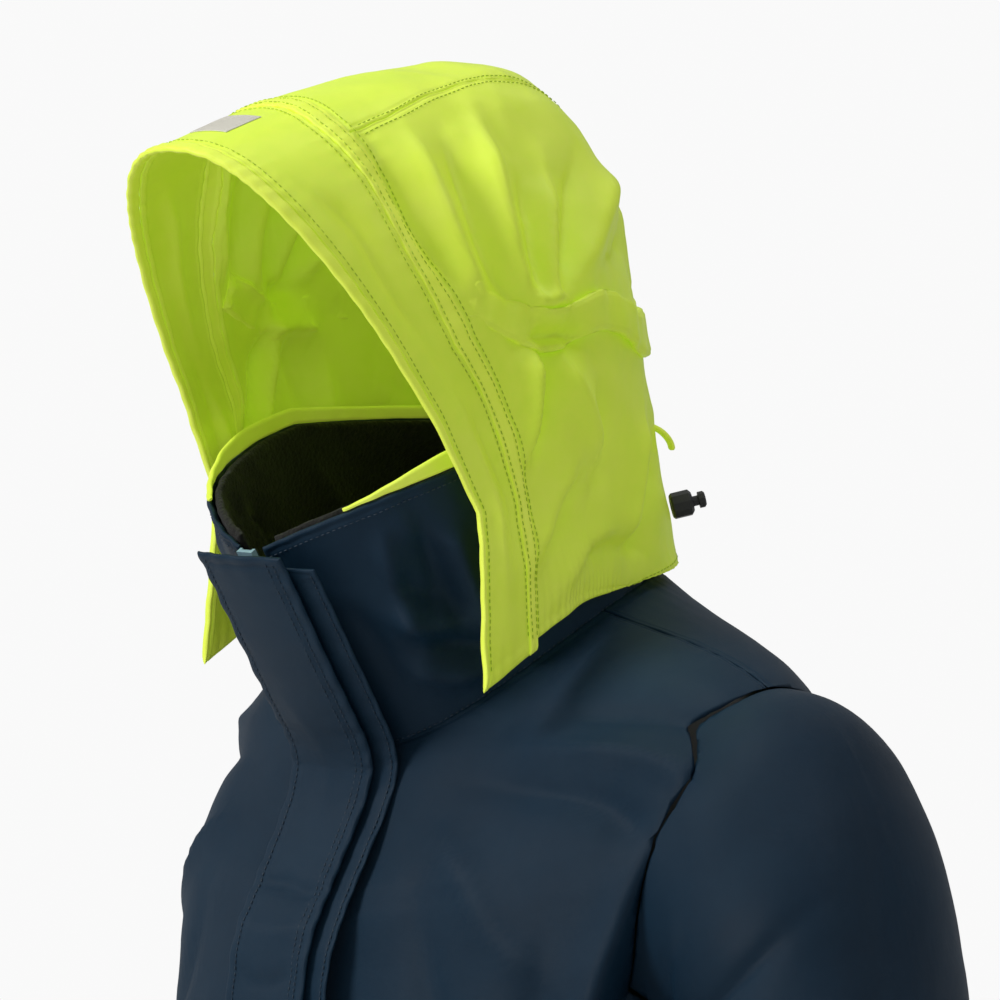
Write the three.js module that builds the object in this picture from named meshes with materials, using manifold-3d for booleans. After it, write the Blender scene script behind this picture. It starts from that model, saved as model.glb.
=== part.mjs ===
// Foul weather jacket: hooded, high collared, with a double storm flap over a two-way zip.
// Millimetres. The wearer faces -Y, +X is the wearer's left and +Z is up.
// The origin is the middle of the neck, level with the shoulder seams.
import * as THREE from 'three';
import { mergeVertices } from 'three/addons/utils/BufferGeometryUtils.js';
import Module from 'manifold-3d';

const wasm = await Module();
wasm.setup();

// Driving dimensions
const shellThick = 2.4;        // coated outer fabric with its facing
const liningThick = 1.2;
const seamGap = 0.9;           // clearance between sewn neighbours
const hemHeight = -725;
const hemDepth = 38;
const chestHeight = -142;
const frontReach = -144;       // front of the body, where the zip runs straight down
const bodySquareness = 0.8;    // 1 is an ellipse, less is squarer
const neck = { halfWidth: 92, frontY: -96, backY: 90, frontZ: -41, backZ: 42, sideRise: 28 };
const shoulder = { tipX: 236, tipY: 16, tipZ: -4 };
const collarTop = { halfWidth: 88, frontY: -166, backY: 61, frontZ: 68, rise: 56 };
const drawn = { start: 80, end: 240, back: 85, inward: 18, down: 28 };
const hood = { squareness: 0.83, bulge: 0.05, brimEnd: 0.118, channelEnd: 0.15, crownHalf: 0.2 };
const flapHalfWidth = 28;
const flapOffset = 1.5;
const flapLift = 12.4;
const placketLift = 7.4;
const tapeWidth = 12;
const toothWidth = 2.7;
const pocket = { width: 92, height: 180, depth: 16, middleX: 90, topZ: -405, wall: 2 };
const pocketFlap = { width: 100, height: 64, hem: 22, sewnLift: 3, lift: 20.5 };
const navy = new THREE.Color(0x1c3550);
const black = new THREE.Color(0x0d0f0c);
const hiVis = new THREE.Color(0xd2ee58);
const steelBlue = new THREE.Color(0x8fb6c8);
const reflective = new THREE.Color(0xe4e2da);

const jacket = new THREE.Group();

// ---- Helpers ------------------------------------------------------------------------------------

function finish(color, roughness = 0.75, metalness = 0) {
  return new THREE.MeshStandardMaterial({ color, roughness, metalness });
}

function addPart(name, geometry, material) {
  const mesh = new THREE.Mesh(geometry, material);
  mesh.name = name;
  jacket.add(mesh);
  return mesh;
}

function bare(geometry) {
  geometry.deleteAttribute('normal');
  geometry.deleteAttribute('uv');
  return mergeVertices(geometry, 1e-4);
}

function signedVolume(geometry) {
  const points = geometry.attributes.position;
  const index = geometry.index;
  const corners = [new THREE.Vector3(), new THREE.Vector3(), new THREE.Vector3()];
  let total = 0;
  for (let i = 0; i < index.count; i += 3) {
    corners.forEach((corner, k) => corner.fromBufferAttribute(points, index.getX(i + k)));
    total += corners[0].dot(corners[1].clone().cross(corners[2]));
  }
  return total / 6;
}

// Turns every face outwards, whichever way the surface was wrapped.
function facingOut(geometry) {
  if (signedVolume(geometry) > 0) return geometry;
  const index = geometry.index;
  for (let i = 0; i < index.count; i += 3) {
    const second = index.getX(i + 1);
    index.setX(i + 1, index.getX(i + 2));
    index.setX(i + 2, second);
  }
  return geometry;
}

function surfaceNormal(surface, u, v) {
  const step = 1e-3;
  const alongU = surface(u + step, v).sub(surface(u - step, v));
  const alongV = surface(u, v + step).sub(surface(u, v - step));
  return alongU.cross(alongV).normalize();
}

// Moves every point of a flat or rolled blank, given as (u, v, w), onto surface + normal * lift.
function wrap(geometry, surface, toSheet) {
  const points = geometry.attributes.position;
  const point = new THREE.Vector3();
  for (let i = 0; i < points.count; i += 1) {
    point.fromBufferAttribute(points, i);
    const [u, v, lift] = toSheet(point);
    const placed = surface(u, v).addScaledVector(surfaceNormal(surface, u, v), lift);
    points.setXYZ(i, placed.x, placed.y, placed.z);
  }
  return facingOut(bare(geometry));
}

// A cloth sheet of even thickness over u, v from 0 to 1. lift is the height of its middle layer.
function sheet(surface, across, along, thick, lift = 0) {
  const blank = bare(new THREE.BoxGeometry(1, 1, 1, across, along, 1));
  return wrap(blank, surface, (p) => [p.x + 0.5, p.y + 0.5, lift + p.z * thick]);
}

// A cloth tube: u goes once round, v from one open end to the other.
function tube(surface, around, along, thick, lift = 0) {
  const profile = [];
  for (let i = 0; i <= along; i += 1) profile.push(new THREE.Vector2(2, i / along));
  for (let i = along; i >= 0; i -= 1) profile.push(new THREE.Vector2(1, i / along));
  profile.push(profile[0].clone());
  const blank = bare(new THREE.LatheGeometry(profile, around));
  return wrap(blank, surface, (p) => {
    const u = Math.atan2(p.x, p.z) / (2 * Math.PI);
    return [u, p.y, lift + (Math.hypot(p.x, p.z) - 1.5) * thick];
  });
}

// The solid that a tube's outer surface encloses, closed at both ends.
function core(surface, around, along, lift) {
  const profile = [new THREE.Vector2(0, 0)];
  for (let i = 0; i <= along; i += 1) profile.push(new THREE.Vector2(1, i / along));
  profile.push(new THREE.Vector2(0, 1));
  const blank = bare(new THREE.LatheGeometry(profile, around));
  const points = blank.attributes.position;
  const centres = [0, 1].map((v) => {
    const middle = new THREE.Vector3();
    for (let i = 0; i < around; i += 1) middle.add(surface(i / around, v));
    return middle.divideScalar(around);
  });
  const point = new THREE.Vector3();
  for (let i = 0; i < points.count; i += 1) {
    point.fromBufferAttribute(points, i);
    const onAxis = Math.hypot(point.x, point.z) < 0.5;
    const u = Math.atan2(point.x, point.z) / (2 * Math.PI);
    const placed = onAxis
      ? centres[Math.round(point.y)]
      : surface(u, point.y).addScaledVector(surfaceNormal(surface, u, point.y), lift);
    points.setXYZ(i, placed.x, placed.y, placed.z);
  }
  return facingOut(bare(blank));
}

function toSolid(geometry) {
  const merged = bare(geometry.clone());
  const mesh = new wasm.Mesh({
    numProp: 3,
    vertProperties: new Float32Array(merged.attributes.position.array),
    triVerts: new Uint32Array(merged.index.array),
  });
  return new wasm.Manifold(mesh);
}

// Back to a geometry, keeping only the largest body that a cut has left.
function toGeometry(solid) {
  const bodies = solid.decompose().sort((a, b) => b.volume() - a.volume());
  const mesh = bodies[0].getMesh();
  const geometry = new THREE.BufferGeometry();
  geometry.setAttribute('position', new THREE.BufferAttribute(new Float32Array(mesh.vertProperties), 3));
  geometry.setIndex(Array.from(mesh.triVerts));
  return geometry;
}

function cut(geometry, ...cutters) {
  let solid = toSolid(geometry);
  cutters.forEach((cutter) => { solid = solid.subtract(cutter); });
  return toGeometry(solid.simplify(0.06));
}

function mix(a, b, t) {
  return a + (b - a) * t;
}

// A sine or cosine raised to a power, keeping its sign, for rounded squares.
function squared(value, power) {
  return Math.sign(value) * Math.abs(value) ** power;
}

// The wearer's right shoulder and arm are carried lower and drawn back, as when reaching behind.
function carried(point) {
  const { smoothstep } = THREE.MathUtils;
  const share = smoothstep(-point.x, drawn.start, drawn.end) * mix(0.5, 1, smoothstep(point.z, -680, -330));
  const down = drawn.down * share * smoothstep(point.z, -600, -150);
  return point.add(new THREE.Vector3(drawn.inward * share, drawn.back * share, -down));
}

// Straight-line interpolation through a table of [position, value] rows.
function lookUp(rows, at) {
  if (at <= rows[0][0]) return rows[0][1];
  for (let i = 1; i < rows.length; i += 1) {
    const [start, from] = rows[i - 1];
    const [end, to] = rows[i];
    if (at <= end) return mix(from, to, (at - start) / (end - start));
  }
  return rows[rows.length - 1][1];
}

// ---- Body ---------------------------------------------------------------------------------------

const hemTop = hemHeight + hemDepth;
const bodyWidths = [[hemHeight, 214], [hemTop, 214], [-560, 200], [-400, 184], [-230, 179], [chestHeight, 188]];
const bodyBacks = [[hemHeight, 128], [hemTop, 128], [-480, 116], [-300, 122], [chestHeight, 126]];

// A horizontal section of the body. Angle 0 is the front, a quarter turn is the wearer's left.
function bodyRing(angle, z) {
  const halfWidth = lookUp(bodyWidths, z);
  const back = lookUp(bodyBacks, z);
  const middleY = (back + frontReach) / 2;
  const reach = (back - frontReach) / 2;
  return new THREE.Vector3(
    halfWidth * squared(Math.sin(angle), bodySquareness),
    middleY - reach * squared(Math.cos(angle), bodySquareness),
    z,
  );
}

function neckLine(angle) {
  const middleY = (neck.frontY + neck.backY) / 2;
  const reach = (neck.backY - neck.frontY) / 2;
  const forward = Math.cos(angle);
  const z = mix(neck.backZ, neck.frontZ, (forward + 1) / 2) + neck.sideRise * Math.sin(angle) ** 2;
  return new THREE.Vector3(neck.halfWidth * squared(Math.sin(angle), 0.9), middleY - reach * forward, z);
}

// Where a section bends over from chest to shoulder: sharp at the sides, gentle front and back.
function shoulderCorner(angle) {
  const chest = bodyRing(angle, chestHeight);
  const line = neckLine(angle);
  const side = Math.abs(Math.sin(angle)) ** 1.5;
  const plain = chest.clone().lerp(line, 0.5);
  plain.y += 9;
  const tip = new THREE.Vector3(Math.sign(chest.x) * shoulder.tipX, chest.y * 0.55 + shoulder.tipY, shoulder.tipZ);
  return plain.lerp(tip, side);
}

const chestShare = 0.7;       // part of v that runs from the hem to the chest

function bodySurface(angle, v) {
  if (v <= chestShare) return carried(bodyRing(angle, mix(hemTop, chestHeight, v / chestShare)));
  const s = (v - chestShare) / (1 - chestShare);
  const corner = shoulderCorner(angle);
  const point = bodyRing(angle, chestHeight).multiplyScalar((1 - s) ** 3);
  point.addScaledVector(corner, 3 * s * (1 - s));
  return carried(point.addScaledVector(neckLine(angle), s ** 3));
}

// ---- Sleeves ------------------------------------------------------------------------------------

// Stations down the left arm: centre, lean of the section from upright, half height, half depth.
const armStations = [
  { x: 150, y: 10, z: -100, lean: 4, high: 92, deep: 80 },
  { x: 203, y: 9, z: -104, lean: 10, high: 97, deep: 82 },
  { x: 221, y: 8, z: -122, lean: 30, high: 84, deep: 83 },
  { x: 236, y: 6, z: -158, lean: 54, high: 68, deep: 82 },
  { x: 246, y: 4, z: -215, lean: 76, high: 63, deep: 80 },
  { x: 254, y: 0, z: -350, lean: 86, high: 65, deep: 76 },
  { x: 267, y: -20, z: -490, lean: 88, high: 62, deep: 69 },
  { x: 277, y: -44, z: -622, lean: 88, high: 56, deep: 60 },
  { x: 279, y: -52, z: -670, lean: 88, high: 55, deep: 59 },
];

function armStation(v) {
  const last = armStations.length - 1;
  const place = THREE.MathUtils.clamp(v, 0, 1) * last;
  const i = Math.min(Math.floor(place), last - 1);
  const blend = place - i;
  const station = {};
  Object.keys(armStations[0]).forEach((key) => {
    station[key] = mix(armStations[i][key], armStations[i + 1][key], blend);
  });
  return station;
}

// side is 1 for the wearer's left arm and -1 for the right
function armSurface(side, from, to) {
  return (u, v) => {
    const station = armStation(mix(from, to, v));
    const angle = -u * 2 * Math.PI;
    const lean = THREE.MathUtils.degToRad(station.lean);
    const up = station.high * Math.cos(angle);
    return carried(new THREE.Vector3(
      side * (station.x + up * Math.sin(lean)),
      station.y + side * station.deep * Math.sin(angle),
      station.z + up * Math.cos(lean),
    ));
  };
}

const sleeveEnd = 7 / 8;       // share of the arm's stations where the sleeve meets its cuff

function makeBody() {
  const fullTurn = (u, v) => bodySurface(u * 2 * Math.PI, v);
  const bodyCore = toSolid(core(fullTurn, 48, 26, shellThick / 2 + seamGap));
  const armCores = [1, -1].map((side) => toSolid(core(armSurface(side, 0, 0.6), 20, 8, shellThick / 2 + seamGap)));
  // The zip's half opening, as an angle: the same width at the hem and at the narrower neck.
  const frontEdge = (v) => mix(0.0087, 0.034, THREE.MathUtils.smoothstep(v, chestShare, 1));
  const sideSeam = Math.PI / 2;
  const seam = 0.003;
  const spans = {
    front_panel_left: [frontEdge, () => sideSeam - seam, 9],
    back_panel: [() => sideSeam + seam, () => 3 * sideSeam - seam, 13],
    front_panel_right: [() => 3 * sideSeam + seam, (v) => 4 * sideSeam - frontEdge(v), 9],
  };
  Object.entries(spans).forEach(([name, [from, to, across]]) => {
    const surface = (u, v) => bodySurface(mix(from(v), to(v), u), mix(0.001, 0.995, v));
    addPart(name, cut(sheet(surface, across, 13, shellThick), ...armCores), finish(navy));
  });
  const liningSpan = (u, v) => bodySurface(mix(0.09, 2 * Math.PI - 0.09, u), mix(0.01, 0.97, v));
  const lining = sheet(liningSpan, 18, 8, liningThick, -9);
  addPart('body_lining', cut(lining, ...armCores), finish(black, 0.9));
  const hemStart = frontEdge(0);
  const hemSurface = (u, v) => carried(bodyRing(
    mix(hemStart, 2 * Math.PI - hemStart, u),
    mix(hemHeight, hemTop - 1, v),
  ));
  addPart('hem_band', sheet(hemSurface, 30, 1, shellThick + 0.6), finish(navy));
  [1, -1].forEach((side) => {
    const name = side > 0 ? 'sleeve_left' : 'sleeve_right';
    const sleeve = tube(armSurface(side, 0, sleeveEnd), 16, 10, shellThick);
    addPart(name, cut(sleeve, bodyCore), finish(navy));
  });
}

function makeCuffs() {
  [1, -1].forEach((side) => {
    const word = side > 0 ? 'left' : 'right';
    const cuffSurface = armSurface(side, sleeveEnd + 0.004, 1);
    addPart(`cuff_${word}`, tube(cuffSurface, 16, 1, shellThick + 0.8), finish(navy));
    addPart(`inner_cuff_${word}`, tube(cuffSurface, 16, 1, 2, -8), finish(black, 0.9));
    const [sewn, free] = side > 0 ? [0.02, 0.24] : [0.98, 0.76];
    const tabSurface = (u, v) => cuffSurface(mix(sewn, free, u), mix(0.28, 0.82, v));
    addPart(`cuff_tab_${word}`, sheet(tabSurface, 6, 1, 2.4, side * 4.6), finish(navy));
  });
}

// ---- Collar -------------------------------------------------------------------------------------

function collarRim(angle) {
  const middleY = (collarTop.frontY + collarTop.backY) / 2;
  const reach = (collarTop.backY - collarTop.frontY) / 2;
  const forward = Math.cos(angle);
  const climb = Math.min(1, 1 - forward) ** 0.5;
  return new THREE.Vector3(
    collarTop.halfWidth * squared(Math.sin(angle), 0.9),
    middleY - reach * forward,
    collarTop.frontZ + collarTop.rise * climb,
  );
}

function collarSurface(angle, v) {
  return neckLine(angle).lerp(collarRim(angle), v);
}

function makeCollar() {
  const frontEdge = 0.075;
  const spans = { collar_left: [frontEdge, Math.PI - 0.004], collar_right: [Math.PI + 0.004, 2 * Math.PI - frontEdge] };
  Object.entries(spans).forEach(([name, [from, to]]) => {
    const surface = (u, v) => collarSurface(mix(from, to, u), mix(0.09, 0.95, v));
    addPart(name, sheet(surface, 14, 4, shellThick + 0.6), finish(navy));
  });
  const liningSurface = (u, v) => collarSurface(mix(0.16, 2 * Math.PI - 0.16, u), mix(0.05, 0.94, v));
  addPart('collar_lining', sheet(liningSurface, 26, 3, 3, -4.8), finish(black, 0.95));
  const edgeSurface = (u, v) => collarSurface(mix(0.5, 2 * Math.PI - 0.5, u), mix(0.968, 1.03, v));
  addPart('collar_edge', sheet(edgeSurface, 26, 1, 3.4, -0.6), finish(hiVis));
  const loop = new THREE.TorusGeometry(22, 2.2, 6, 14);
  const hanger = facingOut(bare(loop));
  hanger.scale(1, 1, 0.5);
  hanger.rotateX(Math.PI / 2 - 0.25);
  hanger.translate(0, 57.5, 71);
  addPart('hang_loop', hanger, finish(navy));
}

// ---- Front closure ------------------------------------------------------------------------------

// The zip's line from the collar's top edge, back under the chin and down the front.
const zipLine = new THREE.CatmullRomCurve3([
  [-166, 68], [-150, 42.5], [-133.5, 16], [-117, -10.5], [-102.5, -33], [-97.5, -50], [-102, -70],
  [-115, -96], [-130, -122], [-140, -144], [-144, -170], [-144, -200], [-144, -380], [-144, -560], [-144, -722],
].map(([y, z]) => new THREE.Vector3(0, y, z)), false, 'centripetal');
const zipLength = zipLine.getLength();
const collarShare = 152 / zipLength;      // share of the line that lies on the collar

// A point beside the zip's line: x across the front, and how much the front wraps round there.
function frontSurface(halfWidth, from, to, offset = 0) {
  return (u, v) => {
    const x = offset + mix(-halfWidth, halfWidth, u);
    const share = THREE.MathUtils.clamp(mix(from, to, v), 0, 1);
    const point = zipLine.getPointAt(share);
    const wrapAround = mix(0.0052, 0.0006, THREE.MathUtils.smoothstep(share, collarShare * 0.5, collarShare * 1.3));
    return point.add(new THREE.Vector3(x, wrapAround * x * x, 0));
  };
}

function makeZip() {
  [-1, 1].forEach((side) => {
    const word = side > 0 ? 'left' : 'right';
    const tapeMiddle = side * (toothWidth + tapeWidth / 2 + 0.4);
    const tape = frontSurface(tapeWidth / 2, 0.012, 0.995, tapeMiddle);
    addPart(`zip_tape_${word}`, sheet(tape, 1, 26, 1, 6), finish(navy));
    const teeth = frontSurface(toothWidth / 2, 0.02, 0.985, side * (toothWidth / 2 + 0.15));
    addPart(`zip_teeth_${word}`, sheet(teeth, 1, 26, 2.6, 0.2), finish(steelBlue, 0.5));
  });
  const box = new THREE.BoxGeometry(8, 4.4, 9);
  box.translate(0, frontReach, -719.5);
  addPart('zip_bottom_box', facingOut(bare(box)), finish(steelBlue, 0.5));
}

function makeSlider() {
  const down = zipLine.getTangentAt(0.02);
  const lean = Math.atan2(down.y, -down.z);
  const bridge = new THREE.Shape();
  bridge.moveTo(-5.5, 0);
  bridge.lineTo(-5.5, 3.4);
  bridge.lineTo(5.5, 3.4);
  bridge.lineTo(5.5, 0);
  bridge.lineTo(3.6, 0);
  bridge.lineTo(3.6, 1.2);
  bridge.lineTo(-3.6, 1.2);
  bridge.lineTo(-3.6, 0);
  bridge.closePath();
  const slider = new THREE.ExtrudeGeometry(bridge, { depth: 15, bevelEnabled: false, steps: 1 });
  const puller = new THREE.BoxGeometry(6.5, 1.3, 26, 1, 1, 4);
  slider.translate(0, 0.5, -9);
  puller.translate(0, 4.9, -18);
  const start = zipLine.getPointAt(0.012);
  const faceOut = (geometry) => {
    geometry.rotateZ(Math.PI);
    geometry.rotateX(lean);
    geometry.translate(start.x, start.y, start.z);
    return facingOut(bare(geometry));
  };
  addPart('zip_slider', faceOut(slider), finish(steelBlue, 0.45));
  addPart('zip_puller', faceOut(puller), finish(steelBlue, 0.45));
}

const flapSplit = 0.36;        // share of the line where the sewn-down flap ends and the free one starts

function makeFlaps() {
  const collarFlap = frontSurface(flapHalfWidth, 0.002, flapSplit, flapOffset);
  addPart('storm_flap_collar', sheet(collarFlap, 5, 20, shellThick, -flapLift), finish(navy));
  const chestFlap = frontSurface(flapHalfWidth, flapSplit + 0.001, 0.985, flapOffset);
  addPart('storm_flap_chest', sheet(chestFlap, 4, 6, shellThick, -flapLift), finish(navy));
  const placket = frontSurface(28, 0.012, 0.98, 12);
  addPart('inner_placket', sheet(placket, 4, 28, 1.4, -placketLift), finish(navy));
  for (let i = 0; i < 3; i += 1) {
    const z = -250 - i * 165;
    const patch = (y) => {
      const blank = new THREE.BoxGeometry(16, 0.7, 50);
      blank.translate(6, y, z);
      return facingOut(bare(blank));
    };
    addPart(`flap_loop_${i + 1}`, patch(frontReach - placketLift - 1.35), finish(black, 0.95));
    addPart(`flap_hook_${i + 1}`, patch(frontReach - placketLift - 2.5), finish(black, 0.95));
  }
}

// ---- Pockets ------------------------------------------------------------------------------------

// The body's surface by distance across the front and height, with v going up.
function frontPatch(side) {
  return (x, z) => {
    const share = THREE.MathUtils.clamp(x / lookUp(bodyWidths, z), -0.98, 0.98);
    const sine = squared(share, 1 / bodySquareness);
    const angle = Math.asin(sine);
    return carried(bodyRing(side * angle, z));
  };
}

function wrapPatch(geometry, side) {
  const surface = frontPatch(side);
  return wrap(geometry, surface, (p) => [p.x, p.y, side * p.z]);
}

function makePockets() {
  [1, -1].forEach((side) => {
    const word = side > 0 ? 'left' : 'right';
    const midZ = pocket.topZ - pocket.height / 2;
    const base = shellThick / 2 + 0.6;
    const outer = new THREE.BoxGeometry(pocket.width, pocket.height, pocket.depth, 8, 4, 1);
    outer.translate(pocket.middleX, midZ, base + pocket.depth / 2);
    const hollow = new THREE.BoxGeometry(
      pocket.width - 2 * pocket.wall, pocket.height, pocket.depth - 2 * pocket.wall, 8, 4, 1,
    );
    hollow.translate(pocket.middleX, midZ + pocket.wall, base + pocket.depth / 2);
    const pouch = cut(wrapPatch(bare(outer), side), toSolid(wrapPatch(bare(hollow), side)));
    addPart(`pocket_${word}`, pouch, finish(navy));
    const flap = bare(new THREE.BoxGeometry(pocketFlap.width, pocketFlap.height, shellThick, 8, 4, 1));
    const sewnZ = pocket.topZ + pocketFlap.hem;
    flap.translate(pocket.middleX, sewnZ - pocketFlap.height / 2, 0);
    const points = flap.attributes.position;
    for (let i = 0; i < points.count; i += 1) {
      const drop = Math.min(1, (sewnZ - points.getY(i)) / (pocketFlap.height / 4));
      points.setZ(i, points.getZ(i) + mix(pocketFlap.sewnLift, pocketFlap.lift, drop));
    }
    addPart(`pocket_flap_${word}`, wrapPatch(flap, side), finish(navy));
  });
}

// ---- Hood ---------------------------------------------------------------------------------------

const hoodBase = new THREE.CatmullRomCurve3([
  [102, -99, -6], [105, -60, 16], [104, -30, 30], [101, -6, 37], [96, 14, 41],
].map((p) => new THREE.Vector3(...p)));
const hoodSpine = new THREE.CatmullRomCurve3([
  [0, -216, 264], [0, -140, 288], [0, -60, 304], [0, 14, 302], [0, 54, 240], [0, 66, 165], [0, 80, 105], [0, 97, 46],
].map((p) => new THREE.Vector3(...p)));

// across runs from -1, the wearer's right base line, over the top at 0, to 1 on the left.
// back runs from 0 at the face opening to 1 at the nape.
function hoodSurface(across, back) {
  const side = across < 0 ? -1 : 1;
  const angle = (1 - Math.min(1, Math.abs(across))) * Math.PI / 2;
  const base = hoodBase.getPoint(THREE.MathUtils.clamp(back, 0, 1));
  const spine = hoodSpine.getPoint(THREE.MathUtils.clamp(back, 0, 1));
  const rise = squared(Math.sin(angle), hood.squareness);
  const inward = squared(Math.cos(angle), hood.squareness);
  const leanStart = 0.33 * (1 - back);
  const leanShare = (Math.max(0, rise - leanStart) / (1 - leanStart)) ** 1.15;
  const bulge = hood.bulge * mix(-0.6, 1, THREE.MathUtils.clamp(back / 0.25, 0, 1));
  const overhang = Math.abs(across) > 1 ? (Math.abs(across) - 1) * 200 : 0;
  return new THREE.Vector3(
    side * base.x * inward * (1 + bulge * Math.sin(2 * angle)),
    mix(base.y, spine.y, leanShare),
    mix(base.z, spine.z, rise) - overhang,
  );
}

function hoodPart(fromAcross, toAcross, fromBack, toBack) {
  return (u, v) => hoodSurface(mix(fromAcross, toAcross, u), mix(fromBack, toBack, v));
}

function makeHood() {
  const bright = () => finish(hiVis, 0.6);
  addPart('hood_binding', sheet(hoodPart(-1, 1, 0.0, 0.022), 26, 1, 4.2), bright());
  addPart('hood_brim', sheet(hoodPart(-1, 1, 0.026, hood.brimEnd), 26, 2, 2.6), bright());
  addPart('hood_channel', sheet(hoodPart(-1, 1, hood.brimEnd + 0.004, hood.channelEnd), 26, 1, 4.4), bright());
  const sideStart = hood.channelEnd + 0.016;
  addPart('hood_crown', sheet(hoodPart(-hood.crownHalf, hood.crownHalf, sideStart, 0.985), 8, 11, 2.6), bright());
  [1, -1].forEach((side) => {
    const word = side > 0 ? 'left' : 'right';
    const edge = side * (hood.crownHalf + 0.006);
    addPart(`hood_side_${word}`, sheet(hoodPart(edge, side * 0.995, sideStart, 0.985), 8, 11, 2.6), bright());
  });
  addPart('hood_rear_casing', sheet(hoodPart(-0.7, 0.7, 0.69, 0.735), 18, 1, 3, 4.2), bright());
  addPart('hood_pull_tab', sheet(hoodPart(0.43, 0.51, 0.74, 0.8), 2, 2, 3, 4), bright());
  addPart('hood_patch', sheet(hoodPart(-0.1, 0.1, 0.045, 0.105), 4, 2, 0.8, 2.4), finish(reflective, 0.35));
}

function makeHoodLocks() {
  [1, -1].forEach((side) => {
    const word = side > 0 ? 'left' : 'right';
    const across = side * 0.46;
    const middle = hoodSurface(across, 0.9);
    const outward = surfaceNormal(hoodSurface, across, 0.9);
    if (outward.x * side < 0) outward.negate();
    const turn = new THREE.Quaternion().setFromUnitVectors(new THREE.Vector3(0, 0, 1), outward);
    const barrelProfile = [[3.1, 0], [6, 0], [7, 1], [7, 10], [5.2, 11.5], [3.1, 11.5]];
    const barrel = new THREE.LatheGeometry([...barrelProfile, barrelProfile[0]].map((p) => new THREE.Vector2(...p)), 10);
    const buttonProfile = [[0, 3.4], [2.7, 3.4], [2.7, 14.8], [4.4, 14.8], [4.4, 17.5], [3.4, 18.4], [0, 18.4]];
    const button = new THREE.LatheGeometry(buttonProfile.map((p) => new THREE.Vector2(...p)), 10);
    [[`hood_lock_${word}`, barrel], [`hood_lock_button_${word}`, button]].forEach(([name, geometry]) => {
      geometry.rotateX(Math.PI / 2);
      const mesh = addPart(name, facingOut(bare(geometry)), finish(black, 0.5));
      mesh.quaternion.copy(turn);
      mesh.position.copy(middle).addScaledVector(outward, 2.2);
    });
  });
}

makeBody();
makeCuffs();
makeCollar();
makeZip();
makeSlider();
makeFlaps();
makePockets();
makeHood();
makeHoodLocks();

export default jacket;
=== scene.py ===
import math
import bpy
import bmesh
import numpy as np
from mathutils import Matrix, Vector


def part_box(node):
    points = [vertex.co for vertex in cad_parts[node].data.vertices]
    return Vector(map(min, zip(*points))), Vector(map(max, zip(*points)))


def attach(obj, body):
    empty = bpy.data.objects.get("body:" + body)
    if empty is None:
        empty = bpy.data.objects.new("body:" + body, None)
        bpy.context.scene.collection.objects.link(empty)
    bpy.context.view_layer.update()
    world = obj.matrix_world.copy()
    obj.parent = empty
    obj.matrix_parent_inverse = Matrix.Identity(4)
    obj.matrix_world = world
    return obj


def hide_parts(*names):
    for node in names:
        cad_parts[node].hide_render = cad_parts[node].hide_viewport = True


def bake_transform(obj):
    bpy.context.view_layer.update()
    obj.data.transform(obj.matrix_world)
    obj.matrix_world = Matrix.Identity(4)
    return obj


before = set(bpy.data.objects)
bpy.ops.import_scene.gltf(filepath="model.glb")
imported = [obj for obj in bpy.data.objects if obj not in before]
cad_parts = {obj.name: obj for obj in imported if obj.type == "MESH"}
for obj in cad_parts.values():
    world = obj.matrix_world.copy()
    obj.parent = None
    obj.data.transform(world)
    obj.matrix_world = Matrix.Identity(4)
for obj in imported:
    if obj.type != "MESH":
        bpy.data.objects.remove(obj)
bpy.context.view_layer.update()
print("frame loaded", len(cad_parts), "nodes")

# Shapes are worked out in millimetres, as in the CAD, and written to Blender in metres.
mm = 0.001


# Small maths.
def mix(a, b, t):
    return a + (b - a) * t


def smooth(x, a=0.0, b=1.0):
    t = np.clip((np.asarray(x, float) - a) / (b - a), 0, 1)
    return t * t * (3 - 2 * t)


def squared(value, power):
    return np.sign(value) * np.abs(value) ** power  # sine or cosine of a rounded square


def lookUp(rows, at):
    xs, ys = zip(*rows)
    return np.interp(at, xs, ys)


def throughPoints(points, t):
    p = np.asarray(points, float)  # a smooth curve through evenly spaced control points
    n = len(p) - 1
    s = np.clip(np.asarray(t, float), 0, 1) * n
    i = np.minimum(s.astype(int), n - 1)
    f = (s - i)[..., None]
    a, b, c, d = p[np.maximum(i - 1, 0)], p[i], p[i + 1], p[np.minimum(i + 2, n)]
    a = np.where((i == 0)[..., None], 2 * b - c, a)
    d = np.where((i == n - 1)[..., None], 2 * c - b, d)
    bend, twist = 2 * a - 5 * b + 4 * c - d, 3 * b - a - 3 * c + d
    return 0.5 * (2 * b + (c - a) * f + bend * f ** 2 + twist * f ** 3)


def stack(x, y, z):
    x, y, z = np.broadcast_arrays(x, y, z)
    return np.stack([x, y, z], -1).astype(float)


def normalsOf(surface, u, v):
    h = 1e-3
    du = surface(u + h, v) - surface(u - h, v)
    dv = surface(u, v + h) - surface(u, v - h)
    n = np.cross(du, dv)
    return n / (np.linalg.norm(n, axis=-1, keepdims=True) + 1e-12)


# The jacket's main surfaces.
body = {
    "hemHeight": -725, "hemTop": -687, "chestHeight": -142, "frontReach": -144, "squareness": 0.8,
    "widths": [(-725, 214), (-687, 214), (-560, 200), (-400, 184), (-230, 179), (-142, 188)],
    "backs": [(-725, 128), (-687, 128), (-480, 116), (-300, 122), (-142, 126)],
    "chestShare": 0.7, "tip": (236, 16, -4),
}
neck = {"halfWidth": 92, "frontY": -96, "backY": 90, "frontZ": -41, "backZ": 42, "sideRise": 28}
collar = {"halfWidth": 88, "frontY": -166, "backY": 61, "frontZ": 68, "rise": 56}
drawn = {"start": 80, "end": 240, "back": 85, "inward": 18,
        "down": 28}  # the right shoulder is carried back


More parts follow.
